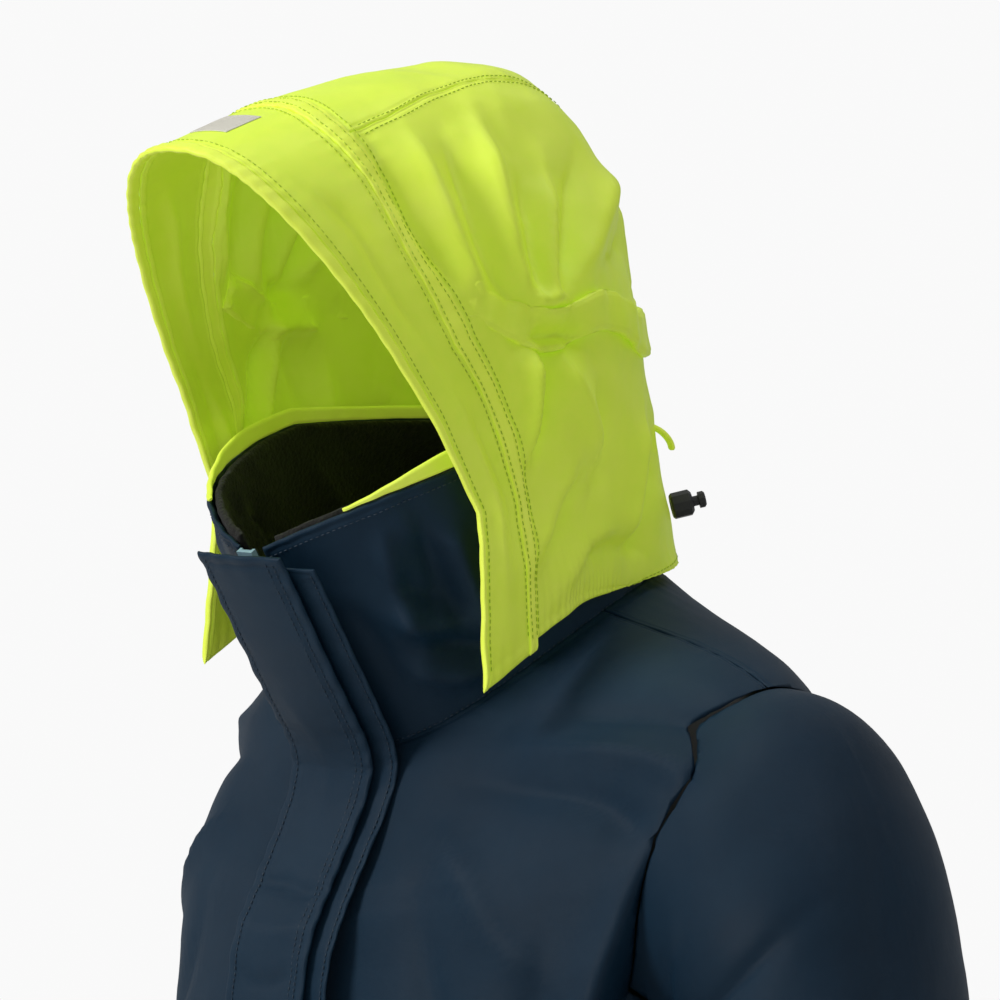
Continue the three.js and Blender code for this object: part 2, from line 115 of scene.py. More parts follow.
def carried(p):
    x, z = p[..., 0], p[..., 2]
    share = smooth(-x, drawn["start"], drawn["end"]) * mix(0.5, 1, smooth(z, -680, -330))
    down = drawn["down"] * share * smooth(z, -600, -150)
    return p + stack(drawn["inward"] * share, drawn["back"] * share, -down)


def bodyRing(angle, z):
    width, back = lookUp(body["widths"], z), lookUp(body["backs"], z)
    middle, reach = (back + body["frontReach"]) / 2, (back - body["frontReach"]) / 2
    return stack(width * squared(np.sin(angle), body["squareness"]),
                 middle - reach * squared(np.cos(angle), body["squareness"]), z)


def neckLine(angle):
    middle, reach = (neck["frontY"] + neck["backY"]) / 2, (neck["backY"] - neck["frontY"]) / 2
    forward = np.cos(angle)
    z = mix(neck["backZ"], neck["frontZ"], (forward + 1) / 2) + neck["sideRise"] * np.sin(angle) ** 2
    return stack(neck["halfWidth"] * squared(np.sin(angle), 0.9), middle - reach * forward, z)


def shoulderCorner(angle):
    chest, line = bodyRing(angle, body["chestHeight"]), neckLine(angle)
    side = (np.abs(np.sin(angle)) ** 1.5)[..., None]
    plain = mix(chest, line, 0.5) + np.array([0, 9, 0])
    tipX, tipY, tipZ = body["tip"]
    tip = stack(np.sign(chest[..., 0]) * tipX, chest[..., 1] * 0.55 + tipY, tipZ)
    return mix(plain, tip, side)


def bodySurface(angle, v):
    angle, v = np.broadcast_arrays(np.asarray(angle, float), np.asarray(v, float))
    reach = 0.02 * smooth(np.minimum(v, 1 - v), 0,
            0.1) + 0.045 * np.exp(-((v - body["chestShare"]) / 0.09) ** 2)
    spread = [(-2, 0.12), (-1, 0.24), (0, 0.28), (1, 0.24),
            (2, 0.12)]  # rounds the bend from chest to shoulder
    return sum(share * bodyPlain(angle, v + step * reach) for step, share in spread)


def bodyPlain(angle, v):
    lower = bodyRing(angle,
            mix(body["hemTop"], body["chestHeight"], np.clip(v / body["chestShare"], -0.08, 1)))
    s = np.clip((v - body["chestShare"]) / (1 - body["chestShare"]), 0, 1.05)[..., None]
    upper = (bodyRing(angle, body["chestHeight"]) * (1 - s) ** 3 + shoulderCorner(angle) * 3 * s * (1 - s)
             + neckLine(angle) * s ** 3)
    return carried(np.where((v <= body["chestShare"])[..., None], lower, upper))


armStations = np.array([  # centre x y z, lean in degrees, half height, half depth
    (150, 10, -100, 4, 92, 80), (203, 9, -104, 10, 97, 82), (221, 8, -122, 30, 84, 83),
    (236, 6, -158, 54, 68, 82), (246, 4, -215, 76, 63, 80), (254, 0, -350, 86, 65, 76),
    (267, -20, -490, 88, 62, 69), (277, -44, -622, 88, 56, 60), (279, -52, -670, 88, 55, 59),
], float)
sleeveEnd = 7 / 8


def armSurface(side, start=0.0, end=1.0):
    def surface(u, v):
        u, v = np.broadcast_arrays(np.asarray(u, float), np.asarray(v, float))
        place = np.clip(mix(start, end, v), 0, 1) * (len(armStations) - 1)
        station = throughPoints(armStations, place / (len(armStations) - 1))
        angle = -u * 2 * math.pi
        lean, up = np.radians(station[..., 3]), station[..., 4] * np.cos(angle)
        return carried(stack(side * (station[..., 0] + up * np.sin(lean)),
                             station[..., 1] + side * station[..., 5] * np.sin(angle),
                             station[..., 2] + up * np.cos(lean)))
    return surface


def collarRim(angle):
    middle, reach = (collar["frontY"] + collar["backY"]) / 2, (collar["backY"] - collar["frontY"]) / 2
    forward = np.cos(angle)
    climb = np.minimum(1, 1 - forward) ** 0.5
    return stack(collar["halfWidth"] * squared(np.sin(angle), 0.9), middle - reach * forward,
                 collar["frontZ"] + collar["rise"] * climb)


def collarSurface(angle, v):
    angle, v = np.broadcast_arrays(np.asarray(angle, float), np.asarray(v, float))
    return mix(neckLine(angle), collarRim(angle), v[..., None])


zipPoints = np.array([  # y and z down the front, from the collar's top edge to the hem
    (-166, 68), (-150, 42.5), (-133.5, 16), (-117, -10.5), (-102.5, -33), (-97.5, -50), (-102, -70),
    (-115, -96), (-130, -122), (-140, -144), (-144, -170), (-144, -200), (-144, -380), (-144,
            -560), (-144, -722),
])


def chordCurve(points, count=900):
    p = np.vstack([2 * points[0] - points[1], points, 2 * points[-1] - points[-2]])
    out = []
    for i in range(1, len(p) - 2):  # centripetal spacing, so that the curve doesn't overshoot at the bend
        a, b, c, d = p[i - 1:i + 3]
        t1 = np.linalg.norm(b - a) ** 0.5
        t2 = t1 + np.linalg.norm(c - b) ** 0.5
        t3 = t2 + np.linalg.norm(d - c) ** 0.5
        t = np.linspace(t1, t2, 60)[:, None]
        ab, bc, cd = mix(a, b, t / t1), mix(b, c, (t - t1) / (t2 - t1)), mix(c, d, (t - t2) / (t3 - t2))
        abc, bcd = mix(ab, bc, t / t2), mix(bc, cd, (t - t1) / (t3 - t1))
        out.append(mix(abc, bcd, (t - t1) / (t2 - t1)))
    line = np.vstack(out)
    run = np.concatenate([[0], np.cumsum(np.linalg.norm(np.diff(line, axis=0), axis=1))])
    at = np.linspace(0, run[-1], count)
    return np.stack([np.interp(at, run, line[:, 0]), np.interp(at, run, line[:, 1])], -1), run[-1]


zipCurve, zipLength = chordCurve(zipPoints)
collarShare = 152 / zipLength


def frontSurface(halfWidth, start, end, offset=0.0):
    def surface(u, v):
        u, v = np.broadcast_arrays(np.asarray(u, float), np.asarray(v, float))
        x = offset + mix(-halfWidth, halfWidth, u)
        share = np.clip(mix(start, end, v), 0, 1)
        at = share * (len(zipCurve) - 1)
        y, z = (np.interp(at, range(len(zipCurve)), zipCurve[:, k]) for k in (0, 1))
        bend = mix(0.0052, 0.0006, smooth(share, collarShare * 0.5, collarShare * 1.3))
        return stack(x, y + bend * x * x, z)
    return surface


def frontPatch(side):
    def surface(x, z):
        x, z = np.broadcast_arrays(np.asarray(x, float), np.asarray(z, float))
        share = np.clip(x / lookUp(body["widths"], z), -0.98, 0.98)
        return carried(bodyRing(side * np.arcsin(squared(share, 1 / body["squareness"])), z))
    return surface


hood = {
    "base": [(102, -99, -6), (105, -60, 16), (104, -30, 30), (101, -6, 37), (96, 14, 41)],
    "spine": [(0, -216, 264), (0, -140, 288), (0, -60, 304), (0, 14, 302), (0, 54, 240), (0, 66, 165),
              (0, 80, 105), (0, 97, 46)],
    "squareness": 0.83, "bulge": 0.05,
}


def hoodSurface(across, back):
    across, back = np.broadcast_arrays(np.asarray(across, float), np.asarray(back, float))
    side = np.where(across < 0, -1.0, 1.0)
    angle = (1 - np.minimum(1, np.abs(across))) * math.pi / 2
    base, spine = throughPoints(hood["base"], back), throughPoints(hood["spine"], back)
    rise = np.maximum(np.sin(angle), 0) ** hood["squareness"]
    inward = np.maximum(np.cos(angle), 0) ** hood["squareness"]
    leanStart = 0.33 * (1 - np.clip(back, 0, 1))
    leanShare = (np.maximum(0, rise - leanStart) / (1 - leanStart)) ** 1.15
    bulge = hood["bulge"] * mix(-0.6, 1, np.clip(back / 0.25, 0, 1))
    overhang = np.maximum(np.abs(across) - 1, 0) * 200
    return stack(side * base[..., 0] * inward * (1 + bulge * np.sin(2 * angle)),
                 mix(base[..., 1], spine[..., 1], leanShare), mix(base[..., 2], spine[..., 2],
                         rise) - overhang)


# Folds: ridges and valleys drawn along lines on a surface.
def strokeLine(surface, points, count=16):
    p = np.asarray(points, float)
    flat = throughPoints(np.column_stack([p, np.zeros(len(p))]),
            np.linspace(0, 1, count)) if len(p) > 1 else p
    return surface(flat[:, 0], flat[:, 1])


def foldsOn(surface, strokes, mirrored=(), strength=1.0, slim=1.0):
    lines = []
    for height, width, points in list(strokes) + list(mirrored):
        lines.append((height * strength, width * slim, strokeLine(surface, points)))
    for height, width, points in mirrored:
        lines.append((height * strength, width * slim, strokeLine(surface, [(-a, b) for a, b in points])))

    def field(p):
        total = np.zeros(p.shape[:-1])
        for height, width, line in lines:
            near = np.full(p.shape[:-1], 1e9)
            along = np.zeros(p.shape[:-1])
            for k in range(len(line) - 1):
                a, ab = line[k], line[k + 1] - line[k]
                t = np.clip(((p - a) @ ab) / (ab @ ab + 1e-9), 0, 1)
                d = np.linalg.norm(p - a - t[..., None] * ab, axis=-1)
                closer = d < near
                near = np.where(closer, d, near)
                along = np.where(closer, (k + t) / (len(line) - 1), along)
            taper = 0.2 + 0.8 * smooth(np.minimum(along, 1 - along), 0, 0.3)
            r = near / width
            total += height * taper * np.where(r < 1.6, np.exp(-np.sqrt(r * r + 0.05) * 1.6 + 0.36),
                    np.exp(-r * r * 0.86))
        return total
    return field


def makeWaves(count, shortest, longest, seed):
    rng = np.random.default_rng(seed)
    k = rng.normal(size=(count, 3))
    k /= np.linalg.norm(k, axis=1)[:, None]
    length = np.exp(rng.uniform(math.log(shortest), math.log(longest), count))
    return k * (2 * math.pi / length)[:, None], rng.uniform(0, 6.28, count), (length / longest) ** 0.8


def creased(p, waves, height):
    k, phase, size = waves  # crumpled cloth: ridges where slow waves cross zero
    bend = 0.9 * np.sin(p[..., 0] / 31 + 1.3 * np.sin(p[..., 2] / 47)) + 0.7 * np.sin(p[...,
            1] / 37 + p[..., 2] / 53)
    total = np.zeros(p.shape[:-1])
    for ki, ph, s in zip(k, phase, size):
        total += s * (0.62 - np.abs(np.sin((p @ ki + ph + bend) / 2)))
    return height * total / math.sqrt(len(k))


# Building cloth.
def edgeSpaced(length, step, fineLow=True, fineHigh=True):
    fine = np.array([0, 0.3, 0.7, 1.2, 1.9, 2.7, 3.6, 4.6, 5.8, 7.4])
    fine = fine[fine < length * 0.42]
    low = fine if fineLow else np.array([0.0])
    high = length - (fine if fineHigh else np.array([0.0]))
    count = max(1, int(round((high[-1] - low[-1]) / step)))
    return np.unique(np.concatenate([low, np.linspace(low[-1], high[-1], count + 1), high])) / length


def newObject(name, verts, faces, material, uvs=None, wear=None, smoothShade=True):
    mesh = bpy.data.meshes.new(name)
    mesh.from_pydata([tuple(v) for v in np.asarray(verts) * mm], [], [tuple(f) for f in faces])
    if uvs is not None:
        layer = mesh.uv_layers.new(name="UVMap")
        index = np.empty(len(mesh.loops), int)
        mesh.loops.foreach_get("vertex_index", index)
        layer.data.foreach_set("uv", (np.asarray(uvs)[index] * mm).ravel())
    if wear is not None:
        mark = mesh.attributes.new("wear", "FLOAT", "POINT")
        mark.data.foreach_set("value", np.asarray(wear, float))
    mesh.polygons.foreach_set("use_smooth", [smoothShade] * len(mesh.polygons))
    mesh.materials.append(material)
    mesh.update()
    obj = bpy.data.objects.new(name, mesh)
    bpy.context.collection.objects.link(obj)
    return obj


def cloth(name, surface, material, thick=2.4, lift=0.0, folds=None, step=4.0, face=1, looped=False,
          grooves=(), openEdges=(), pucker=0.35, size=None):
    probe = np.linspace(0, 1, 41)
    width = size[0] if size else max(np.linalg.norm(np.diff(surface(probe, np.full(41, v)), axis=0),
            axis=1).sum() for v in (0.1, 0.5, 0.9))
    length = size[1] if size else max(np.linalg.norm(np.diff(surface(np.full(41, u), probe), axis=0),
            axis=1).sum() for u in (0.1, 0.5, 0.9))
    us = np.linspace(0, 1, int(width / step) + 1)[:-1] if looped else edgeSpaced(width, step,
            "u0" not in openEdges, "u1" not in openEdges)
    vs = edgeSpaced(length, step, "v0" not in openEdges, "v1" not in openEdges)
    u, v = np.meshgrid(us, vs, indexing="ij")
    base = surface(u, v)
    out = normalsOf(surface, u, v) * face
    fromV = np.minimum(np.where("v0" in openEdges, 1e3, v * length),
            np.where("v1" in openEdges, 1e3, (1 - v) * length))
    fromU = np.full_like(fromV, 1e3) if looped else np.minimum(
        np.where("u0" in openEdges, 1e3, u * width), np.where("u1" in openEdges, 1e3, (1 - u) * width))
    edge = np.minimum(fromU, fromV)
    run = np.where(fromU < fromV, v * length, u * width)
    rise = np.full_like(edge, float(lift))
    if folds is not None:
        rise = rise + folds(base)
    rise = rise + pucker * np.exp(-edge / 9) * np.sin(run / 2.6 + 2 * np.sin(run / 17)) * (edge > 0.2)
    for offset, depth in grooves:
        rise = rise - depth * np.exp(-((edge - offset) / 0.9) ** 2)
    roll = np.clip(edge / (thick * 0.7), 0, 1)
    half = thick / 2 * np.sqrt(np.clip(1 - (1 - roll) ** 2, 0.02, 1))
    top = base + out * (rise + half)[..., None]
    bottom = base + out * (rise - half)[..., None]
    nu, nv = u.shape
    verts = np.vstack([top.reshape(-1, 3), bottom.reshape(-1, 3)])
    uvs = np.tile(np.column_stack([(u * width).ravel(), (v * length).ravel()]), (2, 1))
    wear = np.tile(np.exp(-edge / 5).ravel(), 2)
    rows = nu if looped else nu - 1
    i, j = np.meshgrid(np.arange(rows), np.arange(nv - 1), indexing="ij")
    a, b = (i * nv + j).ravel(), (((i + 1) % nu) * nv + j).ravel()
    topFaces = np.column_stack([a, b, b + 1, a + 1])
    shift = nu * nv
    faces = [topFaces, topFaces[:, ::-1] + shift]
    def side(ring, closed=False):
        first, second = (ring, np.roll(ring, -1)) if closed else (ring[:-1], ring[1:])
        faces.append(np.column_stack([second, first, first + shift, second + shift]))
    grid = np.arange(shift).reshape(nu, nv)
    side(grid[:, 0], looped)
    side(grid[::-1, -1], looped)
    if not looped:
        side(grid[0, ::-1])
        side(grid[-1, :])
    faces = np.vstack(faces)
    if face < 0:
        faces = faces[:, ::-1]
    obj = fixNormals(newObject(name, verts, faces.tolist(), material, uvs, wear))
    obj["flatSize"] = (width * mm, length * mm)
    return obj


def stitches(name, lines, material, pitch=3.1, long=2.2, radius=0.28):
    verts, faces = [], []
    shape = np.array([(-1, 0, 0), (-0.6, 1, 0), (-0.6, -0.5, 0.87), (-0.6, -0.5, -0.87),
                      (0.6, 1, 0), (0.6, -0.5, 0.87), (0.6, -0.5, -0.87), (1, 0, 0)])
    tris = [(0, 1, 3), (0, 3, 2), (0, 2, 1), (7, 5, 6), (7, 6, 4), (7, 4, 5),
            (1, 2, 5, 4), (2, 3, 6, 5), (3, 1, 4, 6)]
    for points, out in lines:
        run = np.concatenate([[0], np.cumsum(np.linalg.norm(np.diff(points, axis=0), axis=1))])
        at = np.arange(pitch / 2, run[-1], pitch)
        place = np.column_stack([np.interp(at, run, points[:, k]) for k in range(3)])
        ahead = np.column_stack([np.interp(at + 0.5, run, points[:, k]) - np.interp(at - 0.5, run,
                points[:, k]) for k in range(3)])
        up = np.column_stack([np.interp(at, run, out[:, k]) for k in range(3)])
        for p, x, z in zip(place, ahead, up):
            x = x / (np.linalg.norm(x) + 1e-9)
            y = np.cross(z, x)
            y /= np.linalg.norm(y) + 1e-9
            z = np.cross(x, y)
            first = len(verts)
            for sx, sy, sz in shape:
                verts.append(p + x * sx * long / 2 + z * sy * radius + y * sz * radius * 1.3)
            faces += [tuple(first + k for k in f) for f in tris]
    obj = newObject(name, np.array(verts), faces, material)
    return fixNormals(obj)


def fixNormals(obj):
    bm = bmesh.new()
    bm.from_mesh(obj.data)
    bmesh.ops.recalc_face_normals(bm, faces=bm.faces)
    bm.to_mesh(obj.data)
    bm.free()
    return obj


def rowOn(surface, path, lift, folds=None, face=1, count=160):
    u, v = path(np.linspace(0, 1, count))
    u, v = np.broadcast_arrays(np.asarray(u, float), np.asarray(v, float))
    base, out = surface(u, v), normalsOf(surface, u, v) * face
    rise = lift + (folds(base) if folds is not None else 0)
    return base + out * np.reshape(rise * np.ones(count), (-1, 1)), out


# Materials.
def nodesOf(name):
    material = bpy.data.materials.new(name)
    material.use_nodes = True
    tree = material.node_tree
    return material, tree, tree.nodes["Principled BSDF"]


def wire(tree, a, b):
    tree.links.new(a, b)


def addNode(tree, kind, **values):
    node = tree.nodes.new(kind)
    for key, value in values.items():
        if key in node.inputs.keys():
            node.inputs[key].default_value = value
        else:
            setattr(node, key, value)
    return node


def noiseNode(tree, where, scale, detail=4.0, rough=0.6):
    node = addNode(tree, "ShaderNodeTexNoise", Scale=scale, Detail=detail, Roughness=rough)
    wire(tree, where, node.inputs["Vector"])
    return node.outputs["Fac"]


def rampNode(tree, fac, stops):
    node = tree.nodes.new("ShaderNodeValToRGB")
    ramp = node.color_ramp
    while len(ramp.elements) < len(stops):
        ramp.elements.new(0.5)
    for element, (at, colour) in zip(ramp.elements, stops):
        element.position = at
        element.color = (*colour, 1)
    wire(tree, fac, node.inputs["Fac"])
    return node.outputs["Color"]


def mathNode(tree, operation, a, b):
    node = tree.nodes.new("ShaderNodeMath")
    node.operation = operation
    for socket, value in zip(node.inputs, (a, b)):
        if isinstance(value, (int, float)):
            socket.default_value = value
        else:
            wire(tree, value, socket)
    return node.outputs[0]


def blendNode(tree, fac, a, b, kind="MIX"):
    node = tree.nodes.new("ShaderNodeMix")
    node.data_type = "RGBA"
    node.blend_type = kind
    for index, value in ((0, fac), (6, a), (7, b)):
        if isinstance(value, (int, float)):
            node.inputs[index].default_value = value
        elif isinstance(value, tuple):
            node.inputs[index].default_value = (*value, 1)
        else:
            wire(tree, value, node.inputs[index])
    return node.outputs[2]


def weaveHeight(tree, yarns):
    uv = tree.nodes.new("ShaderNodeTexCoord").outputs["UV"]
    bands = []
    for axis in ("X", "Y"):
        node = addNode(tree, "ShaderNodeTexWave", Scale=yarns, Distortion=0.6, Detail=1.0)
        node.wave_type, node.bands_direction = "BANDS", axis
        wire(tree, uv, node.inputs["Vector"])
        bands.append(node.outputs["Fac"])
    return mathNode(tree, "MULTIPLY", bands[0], bands[1])


def fabric(name, colours, yarns=900, rough=(0.42, 0.62), sheen=0.15, coat=0.0, bump=0.00025, edgeTint=0.25,
           paintedGlow=0.0, slub=0.00012, specular=0.5):
    dark, middle, light = colours
    material, tree, shader = nodesOf(name)
    where = tree.nodes.new("ShaderNodeTexCoord").outputs["Object"]
    broad, fine = noiseNode(tree, where, 9, 3), noiseNode(tree, where, 160, 5, 0.7)
    shade = mathNode(tree, "ADD", mathNode(tree, "MULTIPLY", broad, 0.75),
            mathNode(tree, "MULTIPLY", fine, 0.25))
    colour = rampNode(tree, shade, [(0.28, dark), (0.5, middle), (0.74, light)])
    wear = tree.nodes.new("ShaderNodeAttribute")
    wear.attribute_name = "wear"
    rubbed = mathNode(tree, "MULTIPLY",
            mathNode(tree, "MULTIPLY", wear.outputs["Fac"], noiseNode(tree, where, 240, 3)), edgeTint)
    colour = blendNode(tree, rubbed, colour, tuple(min(1, c * 1.6 + 0.012) for c in light))
    weave = weaveHeight(tree, yarns)
    colour = blendNode(tree, 0.22, colour, rampNode(tree, weave, [(0.0, dark), (0.6, light)]))
    wire(tree, colour, shader.inputs["Base Color"])
    wire(tree, mathNode(tree, "ADD", mathNode(tree, "MULTIPLY", broad, rough[1] - rough[0]), rough[0]),
            shader.inputs["Roughness"])
    shader.inputs["Sheen Weight"].default_value = sheen
    shader.inputs["Sheen Roughness"].default_value = 0.4
    shader.inputs["Specular IOR Level"].default_value = specular
    if coat:
        shader.inputs["Coat Weight"].default_value = coat
        shader.inputs["Coat Roughness"].default_value = 0.35
    # Painted light: the cloth colour is also emitted, so the hi-vis fabric glows and its shaded side stays bright.
    if paintedGlow:
        wire(tree, colour, shader.inputs["Emission Color"])
        shader.inputs["Emission Strength"].default_value = paintedGlow
    first = addNode(tree, "ShaderNodeBump", Strength=0.45, Distance=bump)
    wire(tree, weave, first.inputs["Height"])
    second = addNode(tree, "ShaderNodeBump", Strength=0.6, Distance=slub)
    wire(tree, noiseNode(tree, where, 700, 4, 0.7), second.inputs["Height"])
    wire(tree, first.outputs["Normal"], second.inputs["Normal"])
    third = addNode(tree, "ShaderNodeBump", Strength=0.5, Distance=0.0012)
    wire(tree, noiseNode(tree, where, 38, 4, 0.55), third.inputs["Height"])
    wire(tree, second.outputs["Normal"], third.inputs["Normal"])
    wire(tree, third.outputs["Normal"], shader.inputs["Normal"])
    return material


def pile(name, colours, scale=420, depth=0.0012, sheen=0.6):
    material, tree, shader = nodesOf(name)
    where = tree.nodes.new("ShaderNodeTexCoord").outputs["Object"]
    curls = addNode(tree, "ShaderNodeTexVoronoi", Scale=scale)
    wire(tree, where, curls.inputs["Vector"])
    fuzz = noiseNode(tree, where, scale * 2.2, 5, 0.8)
    height = mathNode(tree, "ADD", curls.outputs["Distance"], fuzz)
    wire(tree, rampNode(tree, mathNode(tree, "MULTIPLY", height, 0.6),
            [(0.2, colours[0]), (0.75, colours[1])]), shader.inputs["Base Color"])
    shader.inputs["Roughness"].default_value = 0.95
    shader.inputs["Sheen Weight"].default_value = sheen
    shader.inputs["Sheen Roughness"].default_value = 0.5
    bump = addNode(tree, "ShaderNodeBump", Strength=0.8, Distance=depth)
    wire(tree, height, bump.inputs["Height"])
    wire(tree, bump.outputs["Normal"], shader.inputs["Normal"])
    return material


def moulded(name, colours, rough=(0.3, 0.5), metal=0.0):
    material, tree, shader = nodesOf(name)
    where = tree.nodes.new("ShaderNodeTexCoord").outputs["Object"]
    grain, scuffs = noiseNode(tree, where, 900, 3), noiseNode(tree, where, 120, 6, 0.75)
    wire(tree, rampNode(tree, scuffs, [(0.3, colours[0]), (0.7, colours[1])]), shader.inputs["Base Color"])
    wire(tree, mathNode(tree, "ADD", mathNode(tree, "MULTIPLY", scuffs, rough[1] - rough[0]), rough[0]),
            shader.inputs["Roughness"])
    shader.inputs["Metallic"].default_value = metal
    bump = addNode(tree, "ShaderNodeBump", Strength=0.4, Distance=0.0001)
    wire(tree, grain, bump.inputs["Height"])
    wire(tree, bump.outputs["Normal"], shader.inputs["Normal"])
    return material


# Both hi-vis fabrics carry a painted glow: their colour is emitted as light, which keeps their shade bright.
brightCloth = fabric("fluorescent_coated_fabric",
        ((0.62, 0.86, 0.025), (0.74, 0.94, 0.055), (0.82, 0.97, 0.11)),
                     rough=(0.32, 0.46), sheen=0.03, coat=0.10, paintedGlow=0.13)
brightTrim = fabric("fluorescent_seam_facing", ((0.68, 0.88, 0.03), (0.78, 0.95, 0.07), (0.86, 0.98, 0.13)),
                    rough=(0.34, 0.48), sheen=0.03, coat=0.10, paintedGlow=0.15)
navyCloth = fabric("navy_coated_fabric",
        ((0.0040, 0.0175, 0.037), (0.0056, 0.0235, 0.048), (0.0080, 0.0310, 0.060)),
                   rough=(0.38, 0.50), sheen=0.0, coat=0.0, edgeTint=0.08, specular=0.17)
blackLining = fabric("black_lining_fabric",
        ((0.004, 0.005, 0.006), (0.007, 0.008, 0.009), (0.012, 0.013, 0.014)),
                     yarns=1400, rough=(0.55, 0.75), sheen=0.15, edgeTint=0.1)
fleece = pile("black_fleece", ((0.0015, 0.0016, 0.0014), (0.008, 0.0085, 0.007)), sheen=0.08)
hookLoop = pile("hook_and_loop", ((0.004, 0.004, 0.004), (0.02, 0.02, 0.02)), scale=900, depth=0.0008,
        sheen=0.3)
reflectiveFilm = fabric("reflective_film", ((0.62, 0.60, 0.50), (0.74, 0.72, 0.62), (0.82, 0.80, 0.72)),
                        yarns=2200, rough=(0.22, 0.34), sheen=0.0, coat=0.3, edgeTint=0.2)
zipPlastic = moulded("moulded_zip", ((0.22, 0.38, 0.47), (0.33, 0.50, 0.60)))
blackPlastic = moulded("black_plastic", ((0.010, 0.011, 0.012), (0.022, 0.023, 0.025)))
brightThread = moulded("fluorescent_thread", ((0.40, 0.55, 0.02), (0.55, 0.72, 0.04)), rough=(0.55, 0.7))
navyThread = moulded("navy_thread", ((0.012, 0.028, 0.050), (0.022, 0.045, 0.075)), rough=(0.5, 0.65))
webbing = fabric("navy_webbing", ((0.006, 0.018, 0.036), (0.010, 0.028, 0.055), (0.016, 0.04, 0.075)),
        yarns=420, bump=0.0005)
print("materials made")


# Camera, light and floor.
view = {"azimuth": 45, "elevation": 4, "target": (0, 0.015, 0.08), "distance": 3.0, "span": 0.525}


def makeStudio():
    a, e = math.radians(view["azimuth"]), math.radians(view["elevation"])
    ahead = Vector((-math.sin(a) * math.cos(e), math.cos(a) * math.cos(e), -math.sin(e)))
    target = Vector(view["target"])
    data = bpy.data.cameras.new("camera")
    data.sensor_width = 36
    data.lens = 36 * view["distance"] / view["span"]
    data.clip_end = 50
    camera = bpy.data.objects.new("camera", data)
    camera.location = target - ahead * view["distance"]
    camera.rotation_euler = ahead.to_track_quat("-Z", "Y").to_euler()
    bpy.context.collection.objects.link(camera)
    bpy.context.scene.camera = camera
    right = ahead.cross(Vector((0, 0, 1))).normalized()
    def lamp(name, side, back, up, size, power, tint):
        light = bpy.data.lights.new(name, "AREA")
        light.shape, light.size, light.energy, light.color = "DISK", size, power, tint
        obj = bpy.data.objects.new(name, light)
        obj.location = target + right * side - ahead * back + Vector((0, 0, up))
        obj.rotation_euler = (target - obj.location).to_track_quat("-Z", "Y").to_euler()
        bpy.context.collection.objects.link(obj)
    lamp("key", -2.1, 0.9, 1.4, 0.9, 52, (1.0, 0.985, 0.96))
    lamp("top", 0.2, -0.1, 2.3, 1.3, 15, (1, 1, 1))
    lamp("fill", 1.6, 2.2, 0.5, 1.8, 3, (0.96, 0.98, 1))
    world = bpy.data.worlds.new("studio")
    world.use_nodes = True
    sky = world.node_tree.nodes["Background"]
    sky.inputs["Color"].default_value = (1, 1, 1, 1)
    seen = addNode(world.node_tree, "ShaderNodeLightPath")
    level = mathNode(world.node_tree, "MULTIPLY", seen.outputs["Is Camera Ray"], 0.63)
    wire(world.node_tree, mathNode(world.node_tree, "ADD", level, 0.32), sky.inputs["Strength"])
    bpy.context.scene.world = world
    bpy.context.scene.view_settings.view_transform = "Standard"
    material, tree, shader = nodesOf("floor")
    where = tree.nodes.new("ShaderNodeTexCoord").outputs["Object"]
    wire(tree, rampNode(tree, noiseNode(tree, where, 3),
            [(0.3, (0.80, 0.80, 0.79)), (0.7, (0.84, 0.84, 0.83))]), shader.inputs["Base Color"])
    shader.inputs["Roughness"].default_value = 0.8
    turn = np.linspace(0, 2 * math.pi, 97)[:-1]
    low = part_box("hem_band")[0].z / mm - 1
    rim = np.column_stack([2600 * np.cos(turn), 2600 * np.sin(turn), np.full(96, low)])
    floor = newObject("floor", rim, [tuple(range(96))], material)


makeStudio()
print("studio made")


# Hood.
hoodLook = {
    "channelFront": [(0, 0.126), (0.17, 0.117), (0.36, 0.117), (0.5, 0.108), (0.65, 0.111), (0.72, 0.129),
            (0.8, 0.143),
                     (0.88, 0.152), (0.93, 0.170), (1, 0.186)],
    "channelWide": [(0, 0.024), (0.5, 0.023), (0.62, 0.034), (0.74, 0.038), (0.85, 0.036), (1, 0.032)],
    "crownEdge": [(0.1, 0.235), (0.2, 0.222), (0.25, 0.2), (0.33, 0.172), (0.45, 0.168), (0.7, 0.2),
            (1, 0.22)],
    "crumple": 4.4,
}
